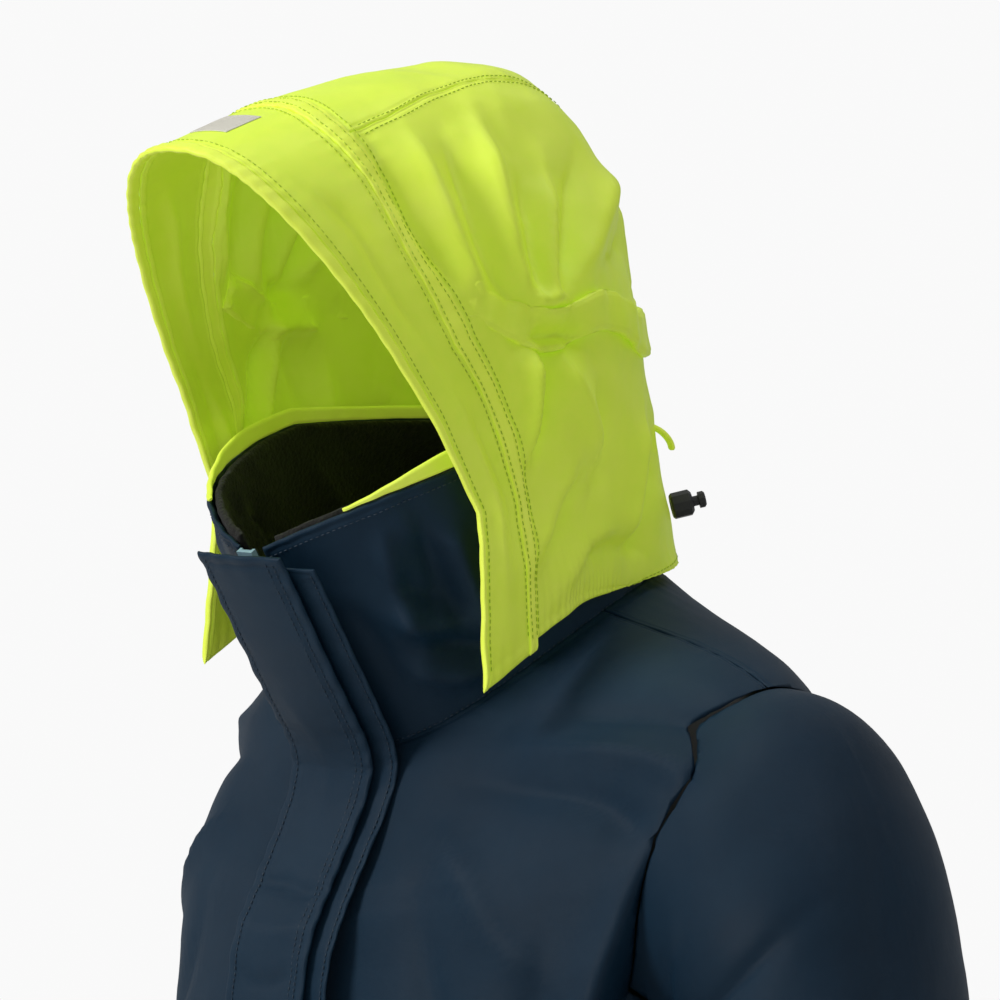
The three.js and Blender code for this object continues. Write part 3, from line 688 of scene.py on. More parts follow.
# Each fold is (height, width, points), with points as (across, back) on the hood.
hoodFolds = [
    (-4.5, 9, [(0.25, 0.155), (0.41, 0.142), (0.51, 0.147), (0.60, 0.16)]),
    (4.0, 11, [(0.26, 0.20), (0.42, 0.19), (0.55, 0.185), (0.62, 0.20)]),
    (-5.0, 12, [(0.30, 0.235), (0.45, 0.225), (0.58, 0.222), (0.66, 0.27)]),
    (6.0, 13, [(0.26, 0.29), (0.44, 0.27), (0.58, 0.262), (0.65, 0.28)]),
    (-4.5, 10, [(0.40, 0.315), (0.52, 0.305), (0.60, 0.295), (0.66, 0.295)]),
    (6.5, 11, [(0.42, 0.36), (0.53, 0.338), (0.60, 0.322), (0.655, 0.302)]),
    (-5.5, 12, [(0.36, 0.43), (0.48, 0.40), (0.58, 0.37), (0.66, 0.32)]),
    (5.0, 15, [(0.30, 0.50), (0.44, 0.47), (0.56, 0.43), (0.65, 0.36)]),
    (-4.0, 14, [(0.28, 0.58), (0.40, 0.55), (0.50, 0.51), (0.60, 0.44)]),
    (-7.0, 9, [(0.685, 0.25), (0.69, 0.30), (0.70, 0.36), (0.71, 0.43)]),
    (6.0, 9, [(0.640, 0.27), (0.645, 0.30), (0.65, 0.36)]),
    (7.0, 8, [(0.69, 0.268), (0.74, 0.252), (0.79, 0.236), (0.83, 0.18)]),
    (-6.5, 8, [(0.70, 0.305), (0.75, 0.285), (0.80, 0.262), (0.84, 0.22)]),
    (6.0, 17, [(0.70, 0.32), (0.765, 0.371), (0.812, 0.46), (0.85, 0.56)]),
    (-4.5, 12, [(0.735, 0.44), (0.78, 0.50), (0.84, 0.52), (0.90, 0.50)]),
    (4.0, 9, [(0.93, 0.19), (0.907, 0.258), (0.88, 0.35), (0.85, 0.42)]),
    (-4.0, 9, [(0.95, 0.25), (0.925, 0.32), (0.90, 0.40), (0.86, 0.47)]),
    (3.6, 10, [(0.975, 0.30), (0.96, 0.42), (0.93, 0.55), (0.89, 0.68)]),
    (-4.0, 10, [(0.97, 0.45), (0.94, 0.60), (0.90, 0.75), (0.84, 0.88)]),
    (4.5, 12, [(0.62, 0.66), (0.72, 0.68), (0.82, 0.72), (0.92, 0.76)]),
    (-4.0, 12, [(0.58, 0.74), (0.70, 0.76), (0.82, 0.80), (0.90, 0.86)]),
    (-3.0, 9, [(0.70, 0.07), (0.78, 0.10), (0.86, 0.12), (0.95, 0.13)]),
    (2.6, 9, [(0.64, 0.05), (0.74, 0.075), (0.85, 0.08), (0.97, 0.085)]),
    (-2.2, 8, [(0.30, 0.05), (0.42, 0.065), (0.55, 0.06), (0.66, 0.075)]),
]
rearFolds = [
    (5.0, 14, [(0.0, 0.50), (0.03, 0.58), (0.05, 0.66)]),
    (-4.5, 12, [(0.12, 0.52), (0.14, 0.60), (0.13, 0.68)]),
    (4.0, 12, [(0.24, 0.53), (0.26, 0.60), (0.27, 0.68)]),
    (-4.5, 13, [(0.06, 0.76), (0.07, 0.84), (0.05, 0.93)]),
    (4.5, 13, [(0.20, 0.76), (0.22, 0.85), (0.20, 0.95)]),
    (-4.0, 12, [(0.36, 0.76), (0.38, 0.84), (0.40, 0.94)]),
]
hoodField = foldsOn(hoodSurface, [], hoodFolds + rearFolds, 1.7, 0.85)
hoodWaves = makeWaves(18, 20, 90, 3)


def hoodCloth(p):
    slack = smooth(p[..., 1] - 0.25 * p[..., 2], -210, -110)  # the stiffened brim stays smooth
    return hoodField(p) + creased(p, hoodWaves, hoodLook["crumple"]) * mix(0.15, 1, slack)


def hoodZone(acrossFrom, acrossTo, backFrom, backTo):
    def surface(u, v):
        u, v = np.broadcast_arrays(np.asarray(u, float), np.asarray(v, float))
        a0 = acrossFrom(v) if callable(acrossFrom) else acrossFrom
        a1 = acrossTo(v) if callable(acrossTo) else acrossTo
        across = mix(a0, a1, u)
        b0 = backFrom(np.abs(across)) if callable(backFrom) else backFrom
        b1 = backTo(np.abs(across)) if callable(backTo) else backTo
        return hoodSurface(across, mix(b0, b1, v))
    return surface


def channelStart(a):
    return lookUp(hoodLook["channelFront"], a)


def channelStop(a):
    return channelStart(a) + lookUp(hoodLook["channelWide"], a)


def crownAt(v):
    return lookUp(hoodLook["crownEdge"], mix(0.15, 0.985, v))


def hoodMoves(obj):
    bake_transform(obj)


def makeHood():
    gap = -0.0008
    pieces = [
        ("hoodBinding", hoodZone(-1, 1, 0.0, 0.016), brightTrim, 3.6, 0.6, [], "hood_binding"),
        ("hoodBrim", hoodZone(-1, 1, 0.0165, lambda a: channelStart(a) - gap), brightCloth, 2.4, 0,
                [(3.2, 0.5)], "hood_brim"),
        ("hoodChannel", hoodZone(-1, 1, channelStart, channelStop), brightTrim, 3.2, 0.9, [(2.2, 0.6)],
                "hood_channel"),
        ("hoodCrown", hoodZone(lambda v: -crownAt(v), crownAt, lambda a: channelStop(a) + gap, 0.985),
                brightCloth, 2.4, 0, [(2.6, 0.5)], "hood_crown"),
        ("hoodSideLeft", hoodZone(lambda v: crownAt(v) + 0.001, 0.995, lambda a: channelStop(a) + gap,
                0.985), brightCloth, 2.4, 0, [(2.6, 0.5)], "hood_side_left"),
        ("hoodSideRight", hoodZone(lambda v: -crownAt(v) - 0.001, -0.995, lambda a: channelStop(a) + gap,
                0.985), brightCloth, 2.4, 0, [(2.6, 0.5)], "hood_side_right"),
    ]
    for name, surface, material, thick, lift, grooves, node in pieces:
        obj = cloth(name, surface, material, thick, lift, hoodCloth, 3.2, outward(surface), grooves=grooves)
        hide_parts(node)
        declare(obj, "stretched", "collar_lining")
        hoodMoves(obj)


def finishPiece(obj, nodes, slotName, ridesOn, held=None, under=()):
    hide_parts(*nodes)
    if held:
        declare(obj, held, *under)
    if ridesOn:
        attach(obj, ridesOn)
    return obj


def declare(obj, held, *under):
    wide, long = (max(x, 0.0105) for x in obj["flatSize"])


hoodMiddle = np.array([0, -60, 110])


def outward(surface):
    p = surface(np.array([0.5]), np.array([0.5]))[0]
    n = normalsOf(surface, np.array([0.5]), np.array([0.5]))[0]
    return 1 if n @ (p - hoodMiddle) > 0 else -1


def makeHoodTrim():
    path = [(0.60, 0.165), (0.655, 0.235), (0.685, 0.30), (0.68, 0.39), (0.62, 0.51), (0.545, 0.60),
            (0.38, 0.66), (0.18, 0.685), (0, 0.69)]
    def casing(u, v):
        u, v = np.broadcast_arrays(np.asarray(u, float), np.asarray(v, float))
        t = 1 - np.abs(2 * u - 1)
        line = throughPoints([(a, b, 0) for a, b in path], t)
        ahead = throughPoints([(a, b, 0) for a, b in path],
                np.minimum(t + 0.01, 1)) - throughPoints([(a, b, 0) for a,
                        b in path], np.maximum(t - 0.01, 0))
        ahead /= np.linalg.norm(ahead, axis=-1, keepdims=True)
        across = line[..., 0] + ahead[..., 1] * (v - 0.5) * 0.055
        back = line[..., 1] - ahead[..., 0] * (v - 0.5) * 0.055
        return hoodSurface(np.where(u > 0.5, -1, 1) * across, back)
    ends = [hoodSurface(np.array([k * path[0][0]]), np.array([path[0][1]]))[0] for k in (1, -1)]
    def padded(p):
        away = np.minimum(*(np.linalg.norm(p - e, axis=-1) for e in ends))
        gathers = 1.3 * np.sin(p[..., 0] / 5.1 + p[..., 1] / 4.3) * smooth(away, 20, 60)
        return hoodCloth(p) + 1.5 - 4.6 * (1 - smooth(away, 0, 62)) + gathers
    obj = cloth("hoodRearCasing", casing, brightCloth, 6.0, 1.6, padded, 3.0, outward(casing),
            grooves=[(2.5, 0.5)], pucker=1.1)
    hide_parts("hood_rear_casing")
    declare(obj, "gathered", "hoodCrown")
    hoodMoves(obj)
    def tab(u, v):
        u, v = np.broadcast_arrays(np.asarray(u, float), np.asarray(v, float))
        root = hoodSurface(np.array([0.470]), np.array([0.76]))[0]
        out, down = np.array([0.62, 0.74, 0.25]), np.array([0.22, 0.16, -0.96])
        side = np.cross(down, out)
        bow = np.sin(v * math.pi) * 3
        return root + stack(*[(u - 0.5) * 12 * side[k] + (v * 17) * (down[k] * 0.9 + out[k] * 0.42) + bow * out[k] for k in range(3)])
    obj = cloth("hoodPullTab", tab, brightTrim, 2.6, 0, None, 2.0, 1, grooves=[(2, 0.4)], pucker=0.2)
    finishPiece(obj, ["hood_pull_tab"], "hi_vis", "hood", "folded", ["hoodSideLeft"])
    patch = hoodZone(-0.06, 0.05, 0.05, 0.095)
    obj = cloth("hoodPatch", patch, reflectiveFilm, 0.7, 1.5, hoodCloth, 2.0, outward(patch), pucker=0.05)
    finishPiece(obj, ["hood_patch"], "reflective", "hood", "laid", ["hoodBrim"])
    rows = []
    def hoodRow(acrossOf, backOf, lift=1.5):
        for side in (1, -1):
            f = lambda t: (side * acrossOf(t), backOf(t))
            raised, out = rowOn(hoodSurface, f, lift, hoodCloth, 1, 220)
            out = out * np.sign(((raised - hoodMiddle) * out).sum(-1, keepdims=True))
            base, _ = rowOn(hoodSurface, f, 0, None, 1, 220)
            rows.append((base + out * (lift + hoodCloth(base))[:, None], out))
    hoodRow(lambda t: t * 0.99, lambda t: 0.026 + 0 * t, 1.4)
    for shift in (-0.0075, 0.0062):
        hoodRow(lambda t: t * 0.99, lambda t: channelStart(t * 0.99) + shift, 1.5 if shift < 0 else 2.5)
        hoodRow(lambda t: t * 0.99, lambda t: channelStop(t * 0.99) - shift, 1.5 if shift < 0 else 2.5)
    for shift in (-0.012, 0.016):
        hoodRow(lambda t: crownAt(t) + shift, lambda t: mix(0.155, 0.98, t), 1.5)
    hoodRow(lambda t: mix(0.24, 0.99, t), lambda t: 0.972 + 0 * t, 1.5)
    obj = stitches("hoodStitching", rows, brightThread, 3.4, 2.5, 0.3)
    hoodMoves(obj)


makeHood()
makeHoodTrim()
print("hood made")


# Body, sleeves and cuffs.
bodyLook = {"frontEdge": (0.0087, 0.034), "seam": 0.003, "crumple": 3.2, "lining": -10}
# Each fold is (height, width, points), with points as (angle from the front, share of height).
bodyFolds = [
    (-13, 11, [(1.36, 0.83), (1.24, 0.77), (1.16, 0.68), (1.13, 0.58), (1.12, 0.46)]),
    (8, 16, [(1.15, 0.86), (1.02, 0.78), (0.96, 0.68), (0.95, 0.55)]),
    (7, 15, [(1.50, 0.80), (1.42, 0.72), (1.38, 0.60), (1.37, 0.48)]),
    (-5, 14, [(0.76, 0.72), (0.78, 0.64), (0.84, 0.54), (0.88, 0.44)]),
    (-4.5, 14, [(0.42, 0.93), (0.62, 0.86), (0.85, 0.80), (1.05, 0.77)]),
    (4.5, 12, [(0.62, 0.95), (0.82, 0.88), (1.02, 0.83), (1.20, 0.80)]),
    (-3.5, 11, [(0.80, 0.97), (1.00, 0.91), (1.20, 0.86), (1.40, 0.84)]),
    (3.5, 12, [(0.28, 0.86), (0.42, 0.78), (0.62, 0.72), (0.84, 0.69)]),
    (-4, 16, [(0.30, 0.78), (0.42, 0.68), (0.62, 0.61), (0.86, 0.58)]),
    (3.5, 16, [(0.26, 0.66), (0.42, 0.58), (0.66, 0.52), (0.90, 0.50)]),
    (-4, 20, [(0.30, 0.44), (0.50, 0.36), (0.80, 0.31), (1.10, 0.30)]),
    (4, 20, [(0.60, 0.22), (0.85, 0.16), (1.15, 0.14), (1.40, 0.17)]),
    (-3.5, 18, [(0.35, 0.12), (0.60, 0.08), (0.95, 0.06), (1.30, 0.08)]),
]
backFolds = [
    (-5, 18, [(1.95, 0.86), (2.05, 0.74), (2.10, 0.60), (2.12, 0.45)]),
    (5, 18, [(2.15, 0.90), (2.28, 0.78), (2.32, 0.62), (2.34, 0.45)]),
    (-4, 20, [(2.45, 0.94), (2.60, 0.80), (2.66, 0.64), (2.70, 0.46)]),
    (4, 18, [(1.80, 0.36), (2.10, 0.30), (2.45, 0.28), (2.85, 0.30)]),
    (-4, 18, [(1.85, 0.22), (2.15, 0.18), (2.50, 0.16), (2.90, 0.18)]),
    (3.5, 16, [(2.95, 0.93), (3.02, 0.86), (3.06, 0.76)]),
]
bodyField = foldsOn(bodySurface, [], bodyFolds + backFolds, 1.5)
bodyWaves = makeWaves(14, 45, 170, 11)
armFolds = [
    (-6, 12, [(0.10, 0.33), (0.22, 0.36), (0.34, 0.35), (0.46, 0.38)]),
    (6, 13, [(0.12, 0.43), (0.24, 0.46), (0.36, 0.45), (0.50, 0.47)]),
    (-6, 12, [(0.16, 0.52), (0.28, 0.56), (0.40, 0.55)]),
    (7, 13, [(0.05, 0.60), (0.17, 0.64), (0.30, 0.65), (0.44, 0.63)]),
    (-7, 11, [(0.08, 0.68), (0.20, 0.72), (0.34, 0.72), (0.47, 0.70)]),
    (6, 12, [(0.12, 0.76), (0.26, 0.80), (0.40, 0.80)]),
    (-5, 11, [(0.60, 0.45), (0.72, 0.49), (0.86, 0.48)]),
    (5, 12, [(0.58, 0.56), (0.72, 0.60), (0.88, 0.58)]),
    (-6, 11, [(0.60, 0.68), (0.74, 0.72), (0.90, 0.70)]),
    (5, 11, [(0.62, 0.78), (0.76, 0.82), (0.92, 0.81)]),
    (-4, 14, [(0.02, 0.20), (0.01, 0.30), (0.03, 0.42)]),
]
armWaves = makeWaves(12, 34, 120, 23)


def bodyCloth(p):
    calm = smooth(-p[..., 1], 110, 138) * smooth(45 - np.abs(p[..., 0]), 0, 20)
    ring = np.hypot(p[..., 0] / neck["halfWidth"], (p[..., 1] + 3) / 93)
    free = np.where(p[..., 2] > -120, smooth(ring, 1.03, 1.4), 1)  # held where the collar is sewn on
    return (bodyField(p) + creased(p, bodyWaves, bodyLook["crumple"])) * (1 - calm) * free


def makeBody():
    def frontEdge(v):
        a, b = bodyLook["frontEdge"]
        return mix(a, b, smooth(v, body["chestShare"], 1))
    quarter, seam = math.pi / 2, bodyLook["seam"]
    spans = [
        ("frontPanelLeft", "front_panel_left", frontEdge, lambda v: quarter - seam),
        ("backPanel", "back_panel", lambda v: quarter + seam, lambda v: 3 * quarter - seam),
        ("frontPanelRight", "front_panel_right", lambda v: 3 * quarter + seam,
                lambda v: 4 * quarter - frontEdge(v)),
    ]
    for name, node, start, stop in spans:
        def surface(u, v, start=start, stop=stop):
            v = np.asarray(v, float)
            return bodySurface(mix(start(v), stop(v), u), mix(0.001, 1.0, v))
        obj = cloth(name, surface, navyCloth, 2.4, 0, bodyCloth, 5.0, bodyFace(surface), grooves=[(3, 0.5)])
        subtract(obj, armCores)
        finishPiece(obj, [node], "navy_shell", "root", "hung", ["body_lining"])
    lining = lambda u, v: bodySurface(mix(0.09, 2 * math.pi - 0.09, u), mix(0.01, 0.97, v))
    obj = cloth("bodyLining", lining, blackLining, 1.2, bodyLook["lining"], bodyCloth, 7.0,
            bodyFace(lining))
    subtract(obj, armCores)
    finishPiece(obj, ["body_lining"], "black_lining", "root", "hung", ["backPanel"])
    a = frontEdge(np.array(0.0))
    hem = lambda u, v: carried(bodyRing(mix(a, 2 * math.pi - a, u),
            mix(body["hemHeight"], body["hemTop"] - 1, v)))
    hemFolds = lambda p: bodyCloth(p) * smooth(p[..., 2], -722, -690)
    obj = cloth("hemBand", hem, navyCloth, 3.2, 0.2, hemFolds, 5.0, bodyFace(hem), grooves=[(2.6, 0.5)],
            pucker=0.6)
    finishPiece(obj, ["hem_band"], "navy_shell", "root", "hung", ["backPanel"])


def bodyFace(surface):
    p = surface(np.array([0.5]), np.array([0.4]))[0]
    n = normalsOf(surface, np.array([0.5]), np.array([0.4]))[0]
    return 1 if n @ (p - np.array([0, 0, p[2]])) > 0 else -1


def armCloth(side):
    field = foldsOn(armSurface(side), armFolds, (), 1.3)
    def rise(p):
        upper = smooth(p[..., 2], -60, -150)
        return (field(p) + creased(p, armWaves, 3.0)) * mix(0.25, 1, upper)
    return rise


def solidCore(name, surface, around, along, lift, folds, face):
    u, v = np.meshgrid(np.linspace(0, 1, around + 1)[:-1], np.linspace(0, 1, along), indexing="ij")
    base = surface(u, v)
    base = base + normalsOf(surface, u, v) * face * (lift + folds(base))[..., None]
    grid = np.arange(around * along).reshape(around, along)
    faces = []
    for i in range(around):
        j = (i + 1) % around
        faces += [(grid[i, k], grid[j, k], grid[j, k + 1], grid[i, k + 1]) for k in range(along - 1)]
    faces += [tuple(grid[::-1, 0]), tuple(grid[:, -1])]
    return fixNormals(newObject(name, base.reshape(-1, 3), [tuple(int(x) for x in f) for f in faces],
            navyCloth))


def subtract(obj, cutters):
    for cutter in cutters:
        cut = obj.modifiers.new("cut", "BOOLEAN")
        cut.operation, cut.solver, cut.object = "DIFFERENCE", "MANIFOLD", cutter
    graph = bpy.context.evaluated_depsgraph_get()
    mesh = bpy.data.meshes.new_from_object(obj.evaluated_get(graph))
    obj.modifiers.clear()
    obj.data = mesh
    bm = bmesh.new()
    bm.from_mesh(mesh)
    groups, seen = [], set()
    for vert in bm.verts:
        if vert.index in seen:
            continue
        group, queue = [], [vert]
        seen.add(vert.index)
        while queue:
            v = queue.pop()
            group.append(v)
            for e in v.link_edges:
                o = e.other_vert(v)
                if o.index not in seen:
                    seen.add(o.index)
                    queue.append(o)
        groups.append(group)
    groups.sort(key=len)
    bmesh.ops.delete(bm, geom=[v for g in groups[:-1] for v in g], context="VERTS")  # scraps of the cut
    bm.to_mesh(mesh)
    bm.free()


def makeSleeves(cores):
    for side, word in ((1, "Left"), (-1, "Right")):
        low = word.lower()
        surface = armSurface(side, 0.02, sleeveEnd)
        face = tubeFace(surface)
        folds = armCloth(side)
        obj = cloth("sleeve" + word, surface, navyCloth, 2.4, 0, folds, 5.0, face, looped=True,
                grooves=[(3, 0.5)])
        subtract(obj, cores)
        finishPiece(obj, ["sleeve_" + low], "navy_shell", "root", "hung",
                ["frontPanel" + word, "backPanel"])
        cuff = armSurface(side, sleeveEnd + 0.0012, 1)
        inner = armSurface(side, sleeveEnd - 0.02, 1)
        still = lambda p: folds(p) * 0.4
        for name, place, node, thick, lift, material, slotName in (
                ("cuff", cuff, "cuff_", 3.2, 0, navyCloth, "navy_shell"),
                ("innerCuff", inner, "inner_cuff_", 2, -8, blackLining, "black_lining")):
            piece = cloth(name + word, place, material, thick, lift, still, 3.5, face, looped=True,
                    grooves=[(2.4, 0.5)], pucker=0.5)
            finishPiece(piece, [node + low], slotName, "root", "hung", ["sleeve" + word])
        sewn, free = (0.02, 0.24) if side > 0 else (0.98, 0.76)
        tab = lambda u, v: cuff(mix(sewn, free, u), mix(0.28, 0.82, v))
        piece = cloth("cuffTab" + word, tab, navyCloth, 2.4, 4.8, still, 2.5, tubeFace(cuff),
                grooves=[(2.6, 0.5)])
        finishPiece(piece, ["cuff_tab_" + low], "navy_shell", "cuff_tab_" + low, "laid", ["cuff" + word])


def tubeFace(surface):
    u = np.linspace(0, 1, 13)[:-1]
    p, n = surface(u, 0 * u + 0.6), normalsOf(surface, u, 0 * u + 0.6)
    return 1 if ((p - p.mean(axis=0)) * n).sum() > 0 else -1


armCores = [solidCore(f"armCore{i}", armSurface(side, 0, 0.62), 40, 30, 2.1, armCloth(side),
        tubeFace(armSurface(side))) for i, side in enumerate((1, -1))]
wholeBody = lambda u, v: bodySurface(u * 2 * math.pi, v)
bodyCore = solidCore("bodyCore", wholeBody, 120, 60, 2.1, bodyCloth, tubeFace(wholeBody))
makeBody()
makeSleeves([bodyCore])
for spare in armCores + [bodyCore]:
    bpy.data.objects.remove(spare)
print("body and sleeves made")


# Collar.
collarLook = {"frontEdge": 0.075, "foot": -0.03, "top": 0.95, "edgeFrom": 0.56, "fleece": 5.0}
collarFolds = [
    (4.5, 9, [(0.99, 0.74), (0.98, 0.42), (0.95, 0.12)]),
    (-4.5, 9, [(0.88, 0.86), (0.86, 0.56), (0.86, 0.26)]),
    (-3.5, 9, [(0.62, 0.66), (0.76, 0.50), (0.84, 0.46)]),
    (3.5, 9, [(0.70, 0.89), (0.65, 0.58), (0.66, 0.28)]),
    (3.5, 9, [(0.55, 0.52), (0.72, 0.38), (0.95, 0.32)]),
    (-4.0, 8, [(0.66, 0.34), (0.86, 0.22), (1.05, 0.16)]),
    (3.0, 8, [(0.50, 0.30), (0.70, 0.16), (0.92, 0.08)]),
    (-2.5, 9, [(0.36, 0.62), (0.44, 0.42), (0.46, 0.20)]),
    (2.5, 10, [(0.72, 0.90), (0.90, 0.72), (1.10, 0.62)]),
    (-2.5, 12, [(1.50, 0.80), (1.60, 0.50), (1.62, 0.20)]),
    (2.5, 12, [(2.10, 0.80), (2.20, 0.50), (2.22, 0.20)]),
    (-2.5, 12, [(2.75, 0.75), (2.80, 0.45), (2.80, 0.15)]),
]
collarField = foldsOn(collarSurface, [], collarFolds, 1.7)
collarWaves = makeWaves(10, 24, 80, 31)


def collarCloth(p):
    calm = smooth(np.abs(p[..., 0]), 22, 52) + (p[..., 1] > 0)
    foot = neckLine(np.arctan2(p[..., 0] / 92, -(p[..., 1] + 3) / 93))[..., 2]
    return (collarField(p) + creased(p, collarWaves, 2.2)) * np.clip(calm, 0,
            1) * smooth(p[..., 2] - foot, 0, 16)


def ringFace(surface):
    p, n = surface(np.array([0.5]), np.array([0.5]))[0], normalsOf(surface, np.array([0.5]),
            np.array([0.5]))[0]
    return 1 if n @ (p - np.array([0, -25, p[2]])) > 0 else -1


def makeCollar():
    a, foot, top = collarLook["frontEdge"], collarLook["foot"], collarLook["top"]
    spans = [("collarLeft", "collar_left", a, math.pi - 0.004),
            ("collarRight", "collar_right", 2 * math.pi - a, math.pi + 0.004)]
    for name, node, start, stop in spans:
        surface = lambda u, v: collarSurface(mix(start, stop, u), mix(foot, top, v))
        obj = cloth(name, surface, navyCloth, 3.0, 0, collarCloth, 3.0, ringFace(surface),
                grooves=[(3.2, 0.6)], pucker=0.5)
        finishPiece(obj, [node], "navy_shell", "root", "hung", ["frontPanelLeft", "backPanel"])
    inner = lambda u, v: collarSurface(mix(0.13, 2 * math.pi - 0.13, u), mix(0.04, 0.955, v))
    def nap(p):
        return collarCloth(p) * 0.8 + 0.35 * np.sin(p[..., 0] / 1.9) * np.sin(p[..., 2] / 2.3)
    obj = cloth("collarLining", inner, fleece, collarLook["fleece"], -5.2, nap, 3.0, ringFace(inner))
    finishPiece(obj, ["collar_lining"], "black_fleece", "root", "hung", ["collarLeft"])
    def rim(u, v):
        u, v = np.broadcast_arrays(np.asarray(u, float), np.asarray(v, float))
        high = 0.965 + 0.075 * smooth(np.minimum(u, 1 - u), 0, 0.13)
        return collarSurface(mix(collarLook["edgeFrom"], 2 * math.pi - collarLook["edgeFrom"], u),
                mix(0.955, high, v))
    obj = cloth("collarEdge", rim, brightTrim, 3.0, -0.8, collarCloth, 3.0, ringFace(rim), pucker=0.3)
    finishPiece(obj, ["collar_edge"], "hi_vis", "root", "stretched", ["collarLining"])
    loop = lambda u, v: stack(25 * np.cos(math.pi * (1.0 + u)) * 0.9, 66.5 - 17 * np.sin(math.pi * u),
            71 + (np.asarray(v, float) - 0.5) * 8)
    obj = cloth("hangLoop", loop, webbing, 1.6, 0, None, 2.0, 1, grooves=[(1.6, 0.3)], pucker=0.1)
    finishPiece(obj, ["hang_loop"], "navy_shell", "root", "hung", ["collarLining"])
    rows = []
    for side in (1, -1):
        turn = lambda t: side * mix(a + 0.02, math.pi, t)
        for share in (top - 0.045, foot + 0.04):
            rows.append(outerRow(collarSurface, lambda t, s=share: (turn(t), s + 0 * t), 1.7, collarCloth))
    obj = stitches("collarStitching", rows, navyThread, 3.2, 2.3, 0.28)
    finishPiece(obj, [], "navy_shell", "root")


def outerRow(surface, path, lift, folds, middle=(0, -25, None), count=200):
    u, v = path(np.linspace(0, 1, count))
    u, v = np.broadcast_arrays(np.asarray(u, float), np.asarray(v, float))
    base, out = surface(u, v), normalsOf(surface, u, v)
    centre = np.array([middle[0], middle[1], 0 if middle[2] is None else middle[2]])
    ray = base - centre
    if middle[2] is None:
        ray[:, 2] = 0
    out = out * np.where((ray * out).sum(-1, keepdims=True) > 0, 1, -1)
    rise = lift + (folds(base) if folds is not None else 0)
    return base + out * (rise * np.ones(count))[:, None], out


# Zip and storm flap.
flapLook = {"halfWidth": 27.5, "offset": 1.3, "lift": -12.2, "placket": (28, 12, -7.4), "tape": 12,
        "tooth": 2.7, "pitch": 2.9}
flapFolds = [
    (-3.0, 5, [(0.02, 0.262), (0.35, 0.258), (0.7, 0.262), (0.98, 0.258)]),
    (2.6, 8, [(0.02, 0.285), (0.4, 0.29), (0.98, 0.283)]),
    (-2.4, 5, [(0.05, 0.312), (0.5, 0.318), (0.95, 0.306)]),
    (1.8, 14, [(0.3, 0.10), (0.5, 0.15), (0.6, 0.22)]),
    (-1.6, 10, [(0.7, 0.38), (0.5, 0.45), (0.4, 0.52)]),
    (1.6, 16, [(0.4, 0.56), (0.6, 0.68), (0.5, 0.8)]),
]


def makeZip():
    for side, word in ((-1, "Right"), (1, "Left")):
        low = word.lower()
        middle = side * (flapLook["tooth"] + flapLook["tape"] / 2 + 0.4)
        tape = frontSurface(flapLook["tape"] / 2, 0.012, 0.995, middle)
        obj = cloth("zipTape" + word, tape, webbing, 1.0, 6, None, 2.5, 1, pucker=0.05)
        finishPiece(obj, ["zip_tape_" + low], "navy_shell", "root", "stretched", ["collar" + word])
        verts, faces = [], []
        count = int(zipLength * 0.965 / flapLook["pitch"])
        for k in range(count):
            share = 0.02 + 0.965 * (k + (0.25 if side > 0 else 0.75)) / count
            strip = frontSurface(1, share, share)
            p = strip(np.array([0.5]), np.array([0]))[0]
            q = frontSurface(1, share + 0.002, share + 0.002)(np.array([0.5]), np.array([0]))[0]
            down = (q - p) / np.linalg.norm(q - p)
            out = np.cross(down, np.array([1.0, 0, 0]))
            out *= np.sign(-out[1]) if abs(out[1]) > 0.1 else 1
            first = len(verts)
            profile = [(0.15, 0.5), (0.5, 0.95), (1.9, 0.7), (2.75, 0.75)]
            for x, h in profile:
                for dz, dn in ((-h, -1.15), (h, -1.15), (h * 0.8, 1.15), (-h * 0.8, 1.15)):
                    verts.append(p + np.array([side * x, 0, 0]) + down * dz * 0.9 + out * (dn - 0.2))
            for r in range(3):
                for c in range(4):
                    a0, b0 = first + r * 4 + c, first + r * 4 + (c + 1) % 4
                    faces.append((a0, b0, b0 + 4, a0 + 4))
            faces += [tuple(first + c for c in (3, 2, 1, 0)), tuple(first + 12 + c for c in range(4))]
        obj = fixNormals(newObject("zipTeeth" + word, np.array(verts), faces, zipPlastic,
                smoothShade=False))
        finishPiece(obj, ["zip_teeth_" + low], "zip_moulding", "root")
    for node in ("zip_bottom_box", "zip_slider", "zip_puller"):
        repaint(node, zipPlastic)


def repaint(node, material):
    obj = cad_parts[node]
    for place in obj.material_slots:
        place.material = material


